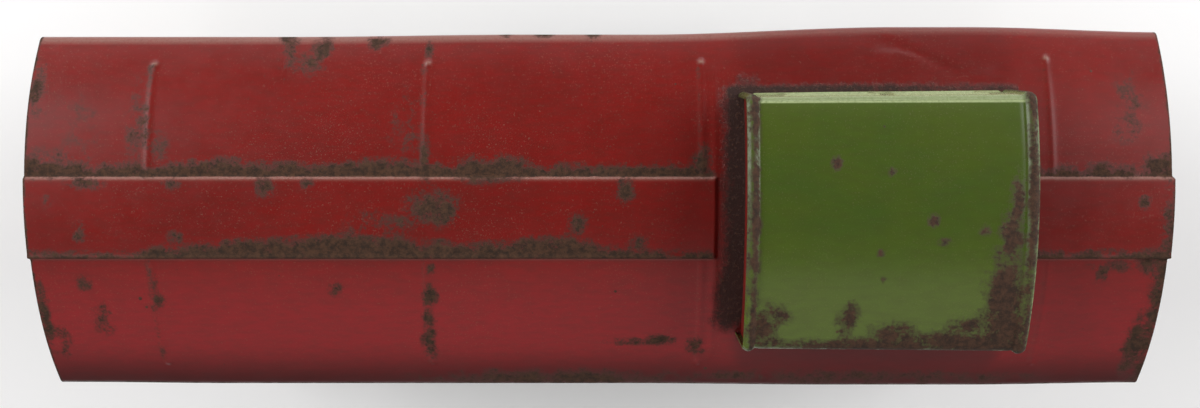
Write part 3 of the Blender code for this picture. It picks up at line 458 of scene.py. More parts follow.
def celluloid():
    """Thin clear sheet, yellowed in clouds and faintly scratched."""
    f = Finish("celluloid", IOR=1.45, Alpha=0.5)
    yellowed = f.step(f.noise(14 * MM, 4, 0.6, 1), 0.3, 0.7)
    f.feed("Base Color", f.mix(yellowed, linear(196, 186, 150), linear(160, 142, 98)))
    f.feed("Roughness", f.noise(3 * MM, 4, 0.6, 2, (0.3, 1, 2)) * 0.3 + 0.1)
    f.feed("Alpha", f.step(f.noise(8 * MM, 4, 0.6, 3), 0.2, 0.8) * 0.25 + 0.4)
    return f.material


# The paints: in the open, in their darker clouds, under a painted sheen, and under a thin film of rust
RED = (linear(122, 20, 15), linear(106, 17, 13), linear(148, 18, 24), linear(68, 34, 24))
GREEN = (linear(66, 82, 22), linear(48, 76, 28), linear(88, 104, 36), linear(66, 64, 32))
BLACK = (linear(34, 33, 32), linear(26, 25, 25), linear(46, 44, 42), linear(62, 46, 36))


def make_finishes():
    """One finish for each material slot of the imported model."""
    return {
        "roof_red": enamel("roof_red", *RED),
        "door_red": enamel("door_red", *RED, 0.05),
        "cupola_green": enamel("cupola_green", *GREEN, 0.0, 0.24, 0.08, PALE_RUB_AND_HIGHLIGHT_GREEN),
        "body_green": enamel("body_green", *GREEN, 0.05, 0.3, 0.08, PALE_RUB_AND_HIGHLIGHT_GREEN),
        "frame_black": enamel("frame_black", *BLACK, 0.1, 0.4),
        "brass": metal("brass", linear(214, 176, 104), linear(120, 88, 44), 0.24),
        "nickel": metal("nickel", linear(205, 200, 190), linear(120, 112, 100), 0.2),
        "steel": metal("steel", linear(150, 146, 140), linear(84, 70, 60), 0.36, 0.9),
        "celluloid": celluloid(),
    }


FINISHES = make_finishes()
SLOT_OF = {row["node"]: row["material_slot"] for row in frame["record"]["subparts"]}


# ---------------------------------------------------------------- roof

SHEET = 0.6 * MM
_, ROOF_HIGH = box_of("roof")
ROOF_RADIUS = 84 * MM
BOARD_RISE = 1.0 * MM
BOARD_HALF = 10.4 * MM
CROWN = ROOF_HIGH[2] - BOARD_RISE
ROOF_AXIS_Z = CROWN - ROOF_RADIUS
HALF_LENGTH = ROOF_HIGH[0]
EDGE_Y = 47.3 * MM
FOLD_RADIUS = 2.6 * MM
FOLD_LIP = 2.0 * MM
RIB_END = 39.9 * MM
RIBS = (-115.5 * MM, -44.6 * MM, 26.2 * MM, 115.5 * MM)
RIB_STRENGTH = {1: (0.32, 0.42, 0.34, 0.28), -1: (0.34, 0.2, 0.24, 0.22)}
BOARD_TOP_EDGE = 10.75 * MM
CREASE_BY_CUPOLA = 29.4 * MM
BOARD_END = 30.2 * MM
BOARD_START = 109.6 * MM

CUPOLA_LOW, CUPOLA_HIGH = box_of("cupola_shell")
CUPOLA_X = (CUPOLA_LOW[0] + CUPOLA_HIGH[0]) / 2
CUPOLA_HALF = (CUPOLA_HIGH[0] - CUPOLA_LOW[0]) / 2
BEAD_RISE = 0.7 * MM
CUPOLA_SIDE = CUPOLA_HIGH[1] - BEAD_RISE
CUPOLA_CROWN = CUPOLA_HIGH[2] - BEAD_RISE
CUPOLA_RADIUS = 95 * MM
CUPOLA_AXIS_Z = CUPOLA_CROWN - CUPOLA_RADIUS

# Rust on the roof, in millimetres: middle X and Y, half sizes along X and Y, and how bad it is
ROOF_RUST = (
    (-145, 33, 1.6, 5, 0.8), (-81.5, 46, 1.9, 2.6, 0.85), (-72.2, 43.8, 2.0, 2.6, 0.75),
    (-58, 45.8, 1.8, 1.4, 0.9), (-77, 40, 5, 2.6, 0.45), (-85, 8.3, 1.8, 2.2, 0.85),
    (-42.6, 3.6, 4.4, 3.4, 0.95), (-39.6, 1.2, 2.4, 2.2, 0.85), (-55, -0.4, 8, 2.6, 0.42),
    (-28, 12.8, 7, 2.4, 0.95), (-6, -0.9, 1.8, 2, 0.75), (6.4, 7.6, 1.8, 3.2, 0.78),
    (-108.7, -4.4, 1.5, 1.6, 0.7), (-133.6, -16.8, 1.6, 1.6, 0.6), (-130, -27, 2.4, 4, 0.5),
    (-142, -34, 1.6, 4, 0.5), (-145.6, -26, 1.2, 7, 0.8), (-115.2, -21.5, 1.8, 1.6, 0.6),
    (-115.6, -16, 1.0, 4, 0.42), (-68.6, -18.7, 1.4, 1.4, 0.72), (-43.7, -12.8, 1.0, 1.1, 0.85),
    (-44.4, -20, 1.7, 1.9, 0.9), (-44.6, -26.6, 1.5, 1.8, 0.75), (-45, -34, 1.6, 3.6, 0.68),
    (15.6, -33.2, 3.2, 1.1, 0.85), (25.4, -34.6, 2.0, 2.0, 0.72), (7, -33.6, 5, 0.8, 0.55),
    (-12, -45.5, 26, 2.4, 0.72), (142.6, -35, 2.2, 6.5, 0.85), (146, -20, 2.2, 26, 0.7),
    (130, -14, 1.2, 1.8, 0.8), (135, -12, 6, 1.3, 0.62), (142, -12, 3, 1.6, 0.8),
    (139, 4.5, 1.1, 1.3, 0.8), (137, 32, 4, 5, 0.36), (135, 24, 5, 4, 0.33), (-44.6, 43.4, 0.9, 1.5, 0.9),
    (-2, 47.2, 1.4, 0.9, 0.95), (-15, 47.5, 2.4, 0.8, 0.9), (-25, 47.4, 1.2, 0.8, 0.9),
    (-130.6, 9.4, 3.2, 1.3, 0.72), (-109, 8.9, 1.6, 1.3, 0.8), (-75, 9.5, 1.4, 1.2, 0.75),
    (-118, 24, 3.2, 10, 0.34), (-50, 24, 4, 8, 0.3), (-140, 14, 9, 3.5, 0.46), (-134, 24, 9, 9, 0.22),
    (65, -44.5, 40, 2.0, 0.5), (-133, -3, 1.5, 2, 0.6), (10, -6.2, 1.7, 2.2, 0.78),
    (26.2, 14.6, 1.8, 3.2, 0.85), (-44.8, 15.5, 1.3, 4, 0.8), (132, 12.6, 14, 1.6, 0.55),
    (143, 13.4, 3.4, 2.6, 0.8), (-141, 4.5, 1.2, 1.4, 0.6), (-113, 17, 2.2, 5, 0.4),
)
# The same on the cupola
CUPOLA_RUST = (
    (57.3, 16, 1.0, 1.2, 0.84), (70.6, 13.9, 0.8, 0.9, 0.8), (80.6, 2.1, 1.1, 1.3, 0.84),
    (93, -0.3, 1.3, 1.3, 0.66), (83.4, -3, 1.2, 0.9, 0.8), (68.3, -6, 0.9, 0.8, 0.8),
    (68.9, -12.5, 0.8, 0.8, 0.6), (61, -23.4, 2.0, 3.0, 1.0), (61.4, -19.6, 1.0, 1.6, 0.72),
    (44, -22.2, 2.4, 2.2, 0.92), (40.4, -25.4, 2.6, 4.4, 0.9), (42, -29.6, 4, 1.8, 0.7),
    (73, -27.4, 5, 2.4, 0.95), (70, -30.6, 20, 1.9, 0.95), (92, -29.5, 15, 2.8, 1.0),
    (91, -25.4, 4.4, 2.2, 0.88), (99, -16, 3.8, 8, 1.0), (101, -26, 4, 5, 1.0), (99.8, -2, 2.4, 5, 0.95),
    (101, 7, 1.4, 5, 0.9), (95, -21, 3.4, 3, 0.55), (104.6, 2, 1.2, 27, 0.8), (104.6, 22, 1.2, 6, 0.7),
)


def blots(x, y, patches):
    """The highest of several bell-shaped patches at each place."""
    worst = np.zeros_like(x)
    for middle_x, middle_y, half_x, half_y, badness in patches:
        reach = ((x / MM - middle_x) / half_x) ** 2 + ((y / MM - middle_y) / half_y) ** 2
        worst = np.maximum(worst, badness * np.exp(-0.55 * reach))
    return worst


def creeping(distance, along, places, widths):
    """Rust that spreads from an edge: 1 at it, 0.55 at the width that holds there, and then less."""
    width = np.interp(along / MM, places, widths) * MM
    spread = 0.55 + 0.22 * (width - distance) / MM
    return np.clip(spread, 0, 0.95) * (distance > -0.25 * MM)


def wavy(x, y):
    """The slow unevenness of thin sheet, from -1 to 1: three crossing waves."""
    return (
        np.sin(x / (13 * MM) + 1.2 * np.sin(y / (17 * MM)))
        + 0.7 * np.sin(x / (29 * MM) - y / (11 * MM) + 2)
        + 0.5 * np.sin(x / (7.5 * MM) + y / (9 * MM) + 1)
    ) / 2.2


def folded_arch(radius, axis_z, half, corner, foot_z, across):
    """The cross-section of a sheet bent to an arch with turned-down sides: points and outward normals.

    The arch is a circle about (0, axis_z). A circle of the corner's radius, which touches it inside,
    joins it to each upright side.
    """
    corner_y = half - corner
    corner_z = axis_z + math.sqrt((radius - corner) ** 2 - corner_y**2)
    lean = math.atan2(corner_y, corner_z - axis_z)
    turn = np.linspace(math.pi / 2, lean, 9)
    corner_n = np.stack([np.sin(turn), np.cos(turn)], -1)
    corner_p = np.array([corner_y, corner_z]) + corner * corner_n
    side_z = np.linspace(foot_z, corner_z, 12)[:-1]
    side_p = np.stack([np.full_like(side_z, half), side_z], -1)
    side_n = np.tile([1.0, 0.0], (len(side_z), 1))
    edge = radius * math.sin(lean)
    y = across[np.abs(across) < edge - 0.3 * MM]
    arch_n = np.stack([y, np.sqrt(radius**2 - y**2)], -1) / radius
    arch_p = np.array([0, axis_z]) + radius * arch_n
    flip = np.array([-1, 1])
    points = [side_p * flip, corner_p * flip, arch_p, corner_p[::-1], side_p[::-1]]
    normals = [side_n * flip, corner_n * flip, arch_n, corner_n[::-1], side_n[::-1]]
    return np.concatenate(points), np.concatenate(normals)


def board_share(x, y):
    """1 on the running board and 0 off it, with sloping edges, the wider one on the left."""
    runs = 1 - smooth(x, BOARD_END - 1.0 * MM, BOARD_END)
    runs = np.maximum(runs, smooth(x, BOARD_START, BOARD_START + 1.4 * MM))
    left = 1 - smooth(y, BOARD_TOP_EDGE - 0.5 * MM, BOARD_TOP_EDGE + 0.5 * MM)
    return runs * left * smooth(y, -BOARD_HALF, -BOARD_HALF + 0.55 * MM)


def roof_relief(x, y):
    """The embossing of the roof: running board, ribs with domed ends, creases and dents."""
    board = board_share(x, y)
    height = BOARD_RISE * board * (0.8 + 0.2 * hump(y + BOARD_HALF - 0.8 * MM, 0.5 * MM))
    for side, strengths in RIB_STRENGTH.items():
        on_side = smooth(side * y, BOARD_HALF - 1.0 * MM, BOARD_HALF + 0.6 * MM)
        past_end = np.maximum(side * y - RIB_END, 0)
        for rib, strength in zip(RIBS, strengths):
            from_line = np.hypot(x - rib, past_end)
            end = np.hypot(x - rib, side * y - RIB_END)
            ridge = 0.42 * MM * hump(from_line, 0.85 * MM)
            dome = 0.75 * MM * hump(end, 0.75 * MM)
            height = height + strength * on_side * (ridge + dome)
        fold = 0.12 * MM * hump(x - CREASE_BY_CUPOLA, 0.9 * MM) * smooth(RIB_END - side * y, 0, 3 * MM)
        height = height + on_side * fold
    dent = np.hypot((x - 74 * MM) / 1.6, y - 43 * MM)
    crease_y = 42.5 * MM - 7 * MM * smooth(x, 76 * MM, 97 * MM) + 1.6 * MM * smooth(x, 97 * MM, 106 * MM)
    crease = hump(y - crease_y, 1.1 * MM) * smooth(x, 74 * MM, 78 * MM) * (1 - smooth(x, 102 * MM, 107 * MM))
    height = height - 0.24 * MM * crease - 0.3 * MM * hump(dent, 1.6 * MM)
    beside = hump(np.maximum(np.abs(x - CUPOLA_X) - CUPOLA_HALF, 0), 2 * MM)
    beside = beside * (np.abs(y) < CUPOLA_SIDE + 2 * MM)
    return height + 0.07 * MM * wavy(x, y) * (1 - beside)


def roof_edge_bend(x, y):
    """How far the roof's edges are bent to the left, or the right where negative, most beside the cupola."""
    left = -0.9 + 0.6 * smooth(x, -80 * MM, -20 * MM) + 1.95 * smooth(x, 12 * MM, 78 * MM)
    left = (left - 1.35 * smooth(x, 97 * MM, 150 * MM)) * smooth(y, 26 * MM, EDGE_Y)
    right = 0.35 * smooth(x, -142 * MM, -100 * MM) - 0.35 + 0.4 * smooth(x, 10 * MM, 60 * MM)
    right = (right - 0.6 * smooth(x, 100 * MM, 146 * MM)) * smooth(-y, 26 * MM, EDGE_Y)
    return MM * (left - right)


def roof_end_shift(x, y):
    """How far the ends of the roof stand in from square, less at the running board than beside it."""
    board = board_share(x, y)
    front = smooth(x, 122 * MM, HALF_LENGTH) * (0.95 - 0.5 * board)
    rear = smooth(-x, 122 * MM, HALF_LENGTH) * 0.35 * smooth(-y, 9.6 * MM, 11 * MM)
    return MM * (rear - front)


# How far rust has spread above each edge of the running board, in millimetres, at places along X
UPPER_RUST = (
    (
        -146, -140, -136, -121, -108, -97, -88, -79, -70, -61, -48, -40, -29, -16,
        0, 10, 18, 24, 29, 113, 146,
    ),
    (4.4, 3.4, 2.2, 1.9, 2.2, 3.5, 2.8, 2.1, 2.1, 3.2, 3.4, 2.1, 4.3, 2.0, 1.6, 1.7, 2.4, 1.7, 0.8, 1.0, 1.2),
)
LOWER_RUST = (
    (-146, -120, -114, -104, -95, -85, -75, -65, -55, -46, -36, -26, -16, -7, 0, 5, 10, 18, 29, 113, 146),
    (0.5, 0.6, 1.6, 2.6, 3.6, 3.9, 4.8, 5.9, 5.2, 3.4, 3.0, 3.0, 4.6, 4.8, 2.8, 2.0, 1.5, 0.8, 0.6, 0.8, 1.0),
)


def on_board_runs(x):
    """1 where the running board runs, and 0 beside the cupola."""
    return np.maximum(1 - smooth(x, 28 * MM, 30.5 * MM), smooth(x, 107 * MM, 109 * MM))


def roof_rust(x, y):
    """Rust above each edge of the running board, along the ribs and the roof's edges, and in patches."""
    upper = creeping(y - BOARD_TOP_EDGE - 0.5 * MM, x, *UPPER_RUST) * on_board_runs(x)
    lower = creeping(y + BOARD_HALF - 0.6 * MM, x, *LOWER_RUST) * on_board_runs(x) * (y < 8 * MM)
    shares = (1.0, 0.9, 0.5, 0.5)
    beside = [share * hump(x - rib + 0.8 * MM, 1.3 * MM) for rib, share in zip(RIBS, shares)]
    rib = 0.36 * np.stack(beside).max(0) * (np.abs(y) > BOARD_HALF) * (np.abs(y) < RIB_END)
    rib = rib * (0.7 + 0.3 * smooth(y, -9 * MM, 9 * MM))
    ends = 0.6 * smooth(np.abs(x), HALF_LENGTH - 1.0 * MM, HALF_LENGTH - 0.2 * MM)
    front = 0.55 * smooth(x, HALF_LENGTH - 5 * MM, HALF_LENGTH) * smooth(-y, -5 * MM, 12 * MM)
    rim = 0.6 * smooth(-y, EDGE_Y - 1.3 * MM, EDGE_Y - 0.1 * MM)
    return np.maximum.reduce([upper, lower, rib, ends, front, rim, blots(x, y, ROOF_RUST)])


def roof_grime_and_contact_shade(x, y):
    """Black deposits packed against the foot of the cupola, worst behind it, mixed with painted contact
    shadow all round its foot.
    """
    start = 28.2 * MM - 2.0 * MM * smooth(-y, 8 * MM, 26 * MM)
    behind = smooth(x, start - 1 * MM, start + 8 * MM) * (x < CUPOLA_X - CUPOLA_HALF + 1 * MM)
    behind = behind * (1 - smooth(np.abs(y - 2 * MM), 28 * MM, 36 * MM))
    fade = 1 - 0.3 * smooth(x, 50 * MM, 106 * MM)
    beside = (1 - smooth(y - CUPOLA_SIDE, 0.7 * MM, 3.2 * MM)) * fade
    beside = beside * (x > 33 * MM) * (x < 107.5 * MM) * (y > 0)
    corner = hump(np.hypot((x - 37 * MM) / 1.7, y - 34.0 * MM), 3 * MM)
    ahead = 0.6 * hump(x - CUPOLA_X - CUPOLA_HALF, 1.2 * MM) * (np.abs(y) < CUPOLA_SIDE)
    below = 0.5 * hump(np.maximum(-y - CUPOLA_SIDE, 0), 2.4 * MM) * (y < 0)
    below = below * (np.abs(x - CUPOLA_X) < CUPOLA_HALF)
    return np.maximum.reduce([behind, 0.85 * beside, 0.5 * corner, ahead, below])


def roof_rub_and_highlight(x, y):
    """Pale paint, partly worn by rubbing and partly painted highlight: along the running board's raised
    edges, as painted glints on the domed ends of the ribs, beside the ribs, and as a painted highlight along
    the top fold.
    """
    edges = 0.85 * hump(y - BOARD_TOP_EDGE, 0.62 * MM) + 0.35 * hump(y + BOARD_HALF - 0.25 * MM, 0.45 * MM)
    dome_rub_and_glints = np.stack([hump(np.hypot((x - rib) / 1.5, y - RIB_END), 0.45 * MM) for rib in RIBS]).max(0)
    beside_rib = np.stack([hump(x - rib + 1.0 * MM, 0.35 * MM) for rib in RIBS]).max(0)
    ribs = 0.05 * beside_rib * (np.abs(y) > BOARD_HALF + 1 * MM) * (np.abs(y) < RIB_END)
    # A painted highlight along the top fold, weaker towards the cupola
    top_fold_highlight = 0.6 * smooth(y, EDGE_Y - 1.9 * MM, EDGE_Y - 1.0 * MM) * (1 - 0.6 * smooth(x, 15 * MM, 60 * MM))
    return np.maximum.reduce([edges * on_board_runs(x), dome_rub_and_glints, ribs, top_fold_highlight])


def roof_painted_shade(x, y):
    """Painted shade, laid on evenly: darker towards the right edge, and darkest between it and the cupola,
    where the cupola's shadow falls.
    """
    edge = 0.85 * smooth(-y, 33 * MM, EDGE_Y)
    beside = hump(np.maximum(np.abs(x - CUPOLA_X) - CUPOLA_HALF + 3 * MM, 0), 4 * MM)
    beside = beside * (0.62 * smooth(-y, 20 * MM, 31 * MM) + 0.22 * smooth(y, 20 * MM, 31 * MM))
    return np.maximum(edge, beside)


def roof_painted_sheen(x, y):
    """A painted sheen on the right slope, paler and pinker more and more towards the edge."""
    return 0.85 * smooth(-y, 2 * MM, 30 * MM) + 0 * x


def make_roof():
    """The roof's sheet: the folded arch carried along X and pushed out along its normals by the relief."""
    x = graded(
        -HALF_LENGTH, HALF_LENGTH, 1.5 * MM, 0.3 * MM,
        [*RIBS, CREASE_BY_CUPOLA, BOARD_END, BOARD_START, -HALF_LENGTH, HALF_LENGTH], 1.8 * MM,
    )
    features = [s * place for s in (1, -1) for place in (BOARD_HALF - 0.3 * MM, RIB_END)]
    across = graded(-EDGE_Y, EDGE_Y, 1.2 * MM, 0.22 * MM, [*features, 0.5 * MM + EDGE_Y], 1.5 * MM)
    fold_y = EDGE_Y - FOLD_RADIUS
    foot_z = ROOF_AXIS_Z + math.sqrt((ROOF_RADIUS - FOLD_RADIUS) ** 2 - fold_y**2) - FOLD_LIP
    points, normals = folded_arch(ROOF_RADIUS, ROOF_AXIS_Z, EDGE_Y, FOLD_RADIUS, foot_z, across)
    y, z = (points[None, :, k] for k in (0, 1))
    x = x[:, None] + 0 * y
    on_arch = smooth(normals[None, :, 1], 0.5, 0.8)
    out = roof_relief(x, y + 0 * x) * on_arch
    ny, nz = (normals[None, :, k] for k in (0, 1))
    outer = np.stack([x + roof_end_shift(x, y), y + roof_edge_bend(x, y) + ny * out, z + nz * out], -1)
    inner = outer - SHEET * np.stack([0 * x, ny + 0 * x, nz + 0 * x], -1)
    middle_x, middle_y = (v[:-1, :-1] + v[1:, 1:] for v in (x / 2, (y + 0 * x) / 2))
    well = (np.abs(middle_x - CUPOLA_X) < CUPOLA_HALF - 9 * MM) & (np.abs(middle_y) < CUPOLA_SIDE - 9 * MM)
    # Rust and black deposits, together with painted contact shadow, painted shade, a painted sheen and
    # painted highlights
    worn = {"rust": roof_rust, "grime_and_shade": roof_grime_and_contact_shade, "rub_and_highlight": roof_rub_and_highlight, "painted_shade": roof_painted_shade, "fade": roof_painted_sheen}
    fields = {name: np.tile(field(x, y + 0 * x).ravel(), 2) for name, field in worn.items()}
    skin = shape("roof_skin", *thick(outer, inner, ~well), FINISHES["roof_red"], 40, **fields)
    fit(skin, "car", "roof_red", "roof")


# ---------------------------------------------------------------- cupola


CUPOLA_WINDOW = (21 * MM, 7.5 * MM)
CUPOLA_WINDOW_PITCH = 27 * MM
CUPOLA_SHOULDER = 3 * MM


def cupola_windows():
    """Where the side windows lie: their ends along X, and their sill and head."""
    half_length, half_height = CUPOLA_WINDOW[0] / 2, CUPOLA_WINDOW[1] / 2
    centres = (CUPOLA_X - CUPOLA_WINDOW_PITCH / 2, CUPOLA_X + CUPOLA_WINDOW_PITCH / 2)
    eaves = CUPOLA_AXIS_Z + math.sqrt(CUPOLA_RADIUS**2 - CUPOLA_SIDE**2) - CUPOLA_SHOULDER
    middle = (CUPOLA_LOW[2] + eaves) / 2
    return [(x - half_length, x + half_length) for x in centres], middle - half_height, middle + half_height


def make_cupola():
    """The cupola's folded sheet: a rolled bead along each end, and two rimmed windows in each side."""
    spans, sill, head = cupola_windows()
    bead_at = 1.45 * MM
    window_ends = [edge for span in spans for edge in span]
    near = [CUPOLA_LOW[0] + 1.4 * MM, CUPOLA_HIGH[0] - 1.4 * MM, *window_ends]
    x = graded(CUPOLA_LOW[0], CUPOLA_HIGH[0], 1.2 * MM, 0.2 * MM, near, 2.2 * MM)
    x = np.unique(np.concatenate([x, window_ends]))
    across = graded(-CUPOLA_SIDE, CUPOLA_SIDE, 1.0 * MM, 0.4 * MM, [-CUPOLA_SIDE, CUPOLA_SIDE], 4 * MM)
    points, normals = folded_arch(CUPOLA_RADIUS, CUPOLA_AXIS_Z, CUPOLA_SIDE, 2.6 * MM, CUPOLA_LOW[2], across)
    upright = np.abs(normals[:, 0]) > 0.999
    heights = np.linspace(CUPOLA_LOW[2], points[upright, 1].max(), 28)
    heights[np.abs(heights - sill).argmin()], heights[np.abs(heights - head).argmin()] = sill, head
    arch_p, arch_n = points[~upright], normals[~upright]
    side_p = np.stack([np.full_like(heights, CUPOLA_SIDE), heights], -1)[:-1]
    side_n = np.tile([1.0, 0.0], (len(side_p), 1))
    flip = np.array([-1, 1])
    points = np.concatenate([side_p * flip, arch_p, side_p[::-1]])
    normals = np.concatenate([side_n * flip, arch_n, side_n[::-1]])
    y, z = (points[None, :, k] for k in (0, 1))
    ny, nz = (normals[None, :, k] for k in (0, 1))
    x = x[:, None] + 0 * y
    from_end = CUPOLA_HALF - np.abs(x - CUPOLA_X)
    bead = BEAD_RISE * np.clip(1 - ((from_end - bead_at) / bead_at) ** 2, 0, 1)
    groove = -0.12 * MM * hump(from_end - 3.3 * MM, 0.5 * MM)
    beside = np.abs(ny) > 0.9
    inward = smooth(from_end, 3 * MM, 4 * MM)
    foot = 0.45 * MM * hump(z - CUPOLA_LOW[2] - 0.7 * MM, 0.9 * MM) * beside * inward
    outside = [np.maximum.reduce([a - x, x - b, sill - z + 0 * x, z - head + 0 * x]) for a, b in spans]
    to_window = np.minimum(*outside)
    rim = 0.4 * MM * np.sqrt(np.clip(1 - ((to_window - 0.7 * MM) / (0.7 * MM)) ** 2, 0, 1)) * beside
    taper = 0.35 * MM * (x - CUPOLA_X) / CUPOLA_HALF * np.abs(ny)
    out = np.maximum(bead, 0.05 * MM * wavy(x * 1.7, y * 1.7) + foot + rim) + groove
    pinch = 0.5 * MM * smooth(-y, 0, CUPOLA_SIDE)
    outer = np.stack([x, y + ny * out + np.sign(y) * taper + pinch, z + nz * out], -1)
    inner = outer - SHEET * np.stack([0 * x, ny + 0 * x, nz + 0 * x], -1)
    middle = [v[:-1, :-1] / 2 + v[1:, 1:] / 2 for v in (x, z + 0 * x, beside * 1.0 + 0 * x)]
    open_here = sum((middle[0] > a) & (middle[0] < b) for a, b in spans).astype(bool)
    keep = ~((middle[2] > 0.9) & open_here & (middle[1] > sill) & (middle[1] < head))
    at = np.where(x < CUPOLA_X, 2.1 * MM, 1.0 * MM)
    ridge = hump(from_end - at, 1.3 * MM) * (0.74 + 0.12 * np.sin(y / (5 * MM) + 1) + 0.06 * (x < CUPOLA_X))
    ridge = np.maximum(ridge, 0.42 * (1 - smooth(from_end, 0.8 * MM, 1.4 * MM)))
    on_top = nz > 0.3
    rust = np.maximum(ridge, blots(x, y + 0 * x, CUPOLA_RUST) * on_top)
    rust = np.maximum(rust, 0.5 * (1 - smooth(z - CUPOLA_LOW[2], 0, 2 * MM)) * (y < 0))
    # Pale lines as painted highlights: along the sides' foot, at the front bead's edge, and strongest on the
    # shoulders, chosen by the way the surface faces
    rub_and_highlight = 0.35 * (foot / (0.45 * MM))
    rub_and_highlight = np.maximum(rub_and_highlight, 0.3 * hump(from_end - 0.2 * MM, 0.35 * MM) * (x > CUPOLA_X))
    painted_shoulder_highlight = 0.45 * smooth(ny, 0.34, 0.37) + 0.5 * hump(ny - 0.46, 0.09) + 0.35 * hump(ny - 0.99, 0.03)
    rub_and_highlight = np.maximum(rub_and_highlight, painted_shoulder_highlight * smooth(from_end, 1.5 * MM, 4 * MM))
    # A painted sheen, paler towards the cupola's right side
    fade = (0.15 + 0.75 * smooth(-y, -6 * MM, 24 * MM)) * on_top
    fields = {"rust": rust, "rub_and_highlight": rub_and_highlight, "fade": fade}
    fields = {name: np.tile((field + 0 * x).ravel(), 2) for name, field in fields.items()}
    shell = shape("cupola_skin", *thick(outer, inner, keep), FINISHES["cupola_green"], 40, **fields)
    fit(shell, "car", "cupola_green", "cupola_shell")
    for end, _ in ENDS:
        softened(f"cupola_end_{end}", "car", "roof_red", FINISHES["roof_red"], 0.12 * MM)


# ---------------------------------------------------------------- stamped frames and walls


def panel_grid(low, high, u_near, v_near, coarse, fine, reach):
    """A flat grid over X and Z between two corners, finer near the places given."""
    u = graded(low[0], high[0], coarse, fine, u_near, reach)
    v = graded(low[2], high[2], coarse, fine, v_near, reach)
    return np.meshgrid(u, v, indexing="ij")


def stamped_frame(node, way, spans, sill, head, inset):
    """A brass window frame: a flat strip with rolled edges round each opening.

    Its thickness falls off near an edge as a quarter circle: t * sqrt(1 - (1 - d / r)^2).
    """
    low, high = box_of(node)
    holes = [(a + inset, b - inset, sill + inset, head - inset) for a, b in spans]
    u_near = [low[0], high[0], *(e for a, b, _, _ in holes for e in (a, b))]
    v_near = [low[2], high[2], sill + inset, head - inset]
    u, v = panel_grid(low, high, u_near, v_near, 1.2 * MM, 0.14 * MM, 0.7 * MM)
    edge = np.minimum.reduce([u - low[0], high[0] - u, v - low[2], high[2] - v])
    middle_u, middle_v = (g[:-1, :-1] / 2 + g[1:, 1:] / 2 for g in (u, v))
    keep = np.ones(middle_u.shape, bool)
    for a, b, c, d in holes:
        outside = np.maximum.reduce([a - u, u - b, c - v, v - d])
        edge = np.minimum(edge, np.maximum(outside, 0))
        keep &= ~((middle_u > a) & (middle_u < b) & (middle_v > c) & (middle_v < d))
    thickness = high[1] - low[1]
    roll = 0.7 * MM
    rise = np.sqrt(np.clip(1 - (1 - np.clip(edge / roll, 0, 1)) ** 2, 0, 1))
    back = low[1] if way > 0 else high[1]
    face = back + way * thickness * (0.25 + 0.75 * rise)
    outer = np.stack([u, face, v], -1)
    inner = np.stack([u, back + 0 * u, v], -1)
    made = shape(f"stamped_{node}", *thick(outer, inner, keep), FINISHES["brass"], 50)
    fit(made, "car", "brass", node)


def grooves(along, start, pitch, half_width, depth):
    """V-shaped joints between boards: how deep the surface is below the boards' faces."""
    from_joint = np.abs((along - start + pitch / 2) % pitch - pitch / 2)
    return depth * (1 - smooth(from_joint, 0, half_width))


BOARD_PITCH = 5.65 * MM
WALL = 0.8 * MM


def body_windows():
    """The side windows' ends along X, in pairs, and their sill and head."""
    low, high = box_of("window_frame_left_front")
    border, mullion = 3.0 * MM, 2.25 * MM
    middle = (low[0] + high[0]) / 2
    half = (high[0] - low[0]) / 2 - border
    pair = ((middle - half, middle - mullion), (middle + mullion, middle + half))
    mirrored = tuple((-b, -a) for a, b in reversed(pair))
    return pair, mirrored, low[2] + border, high[2] - border


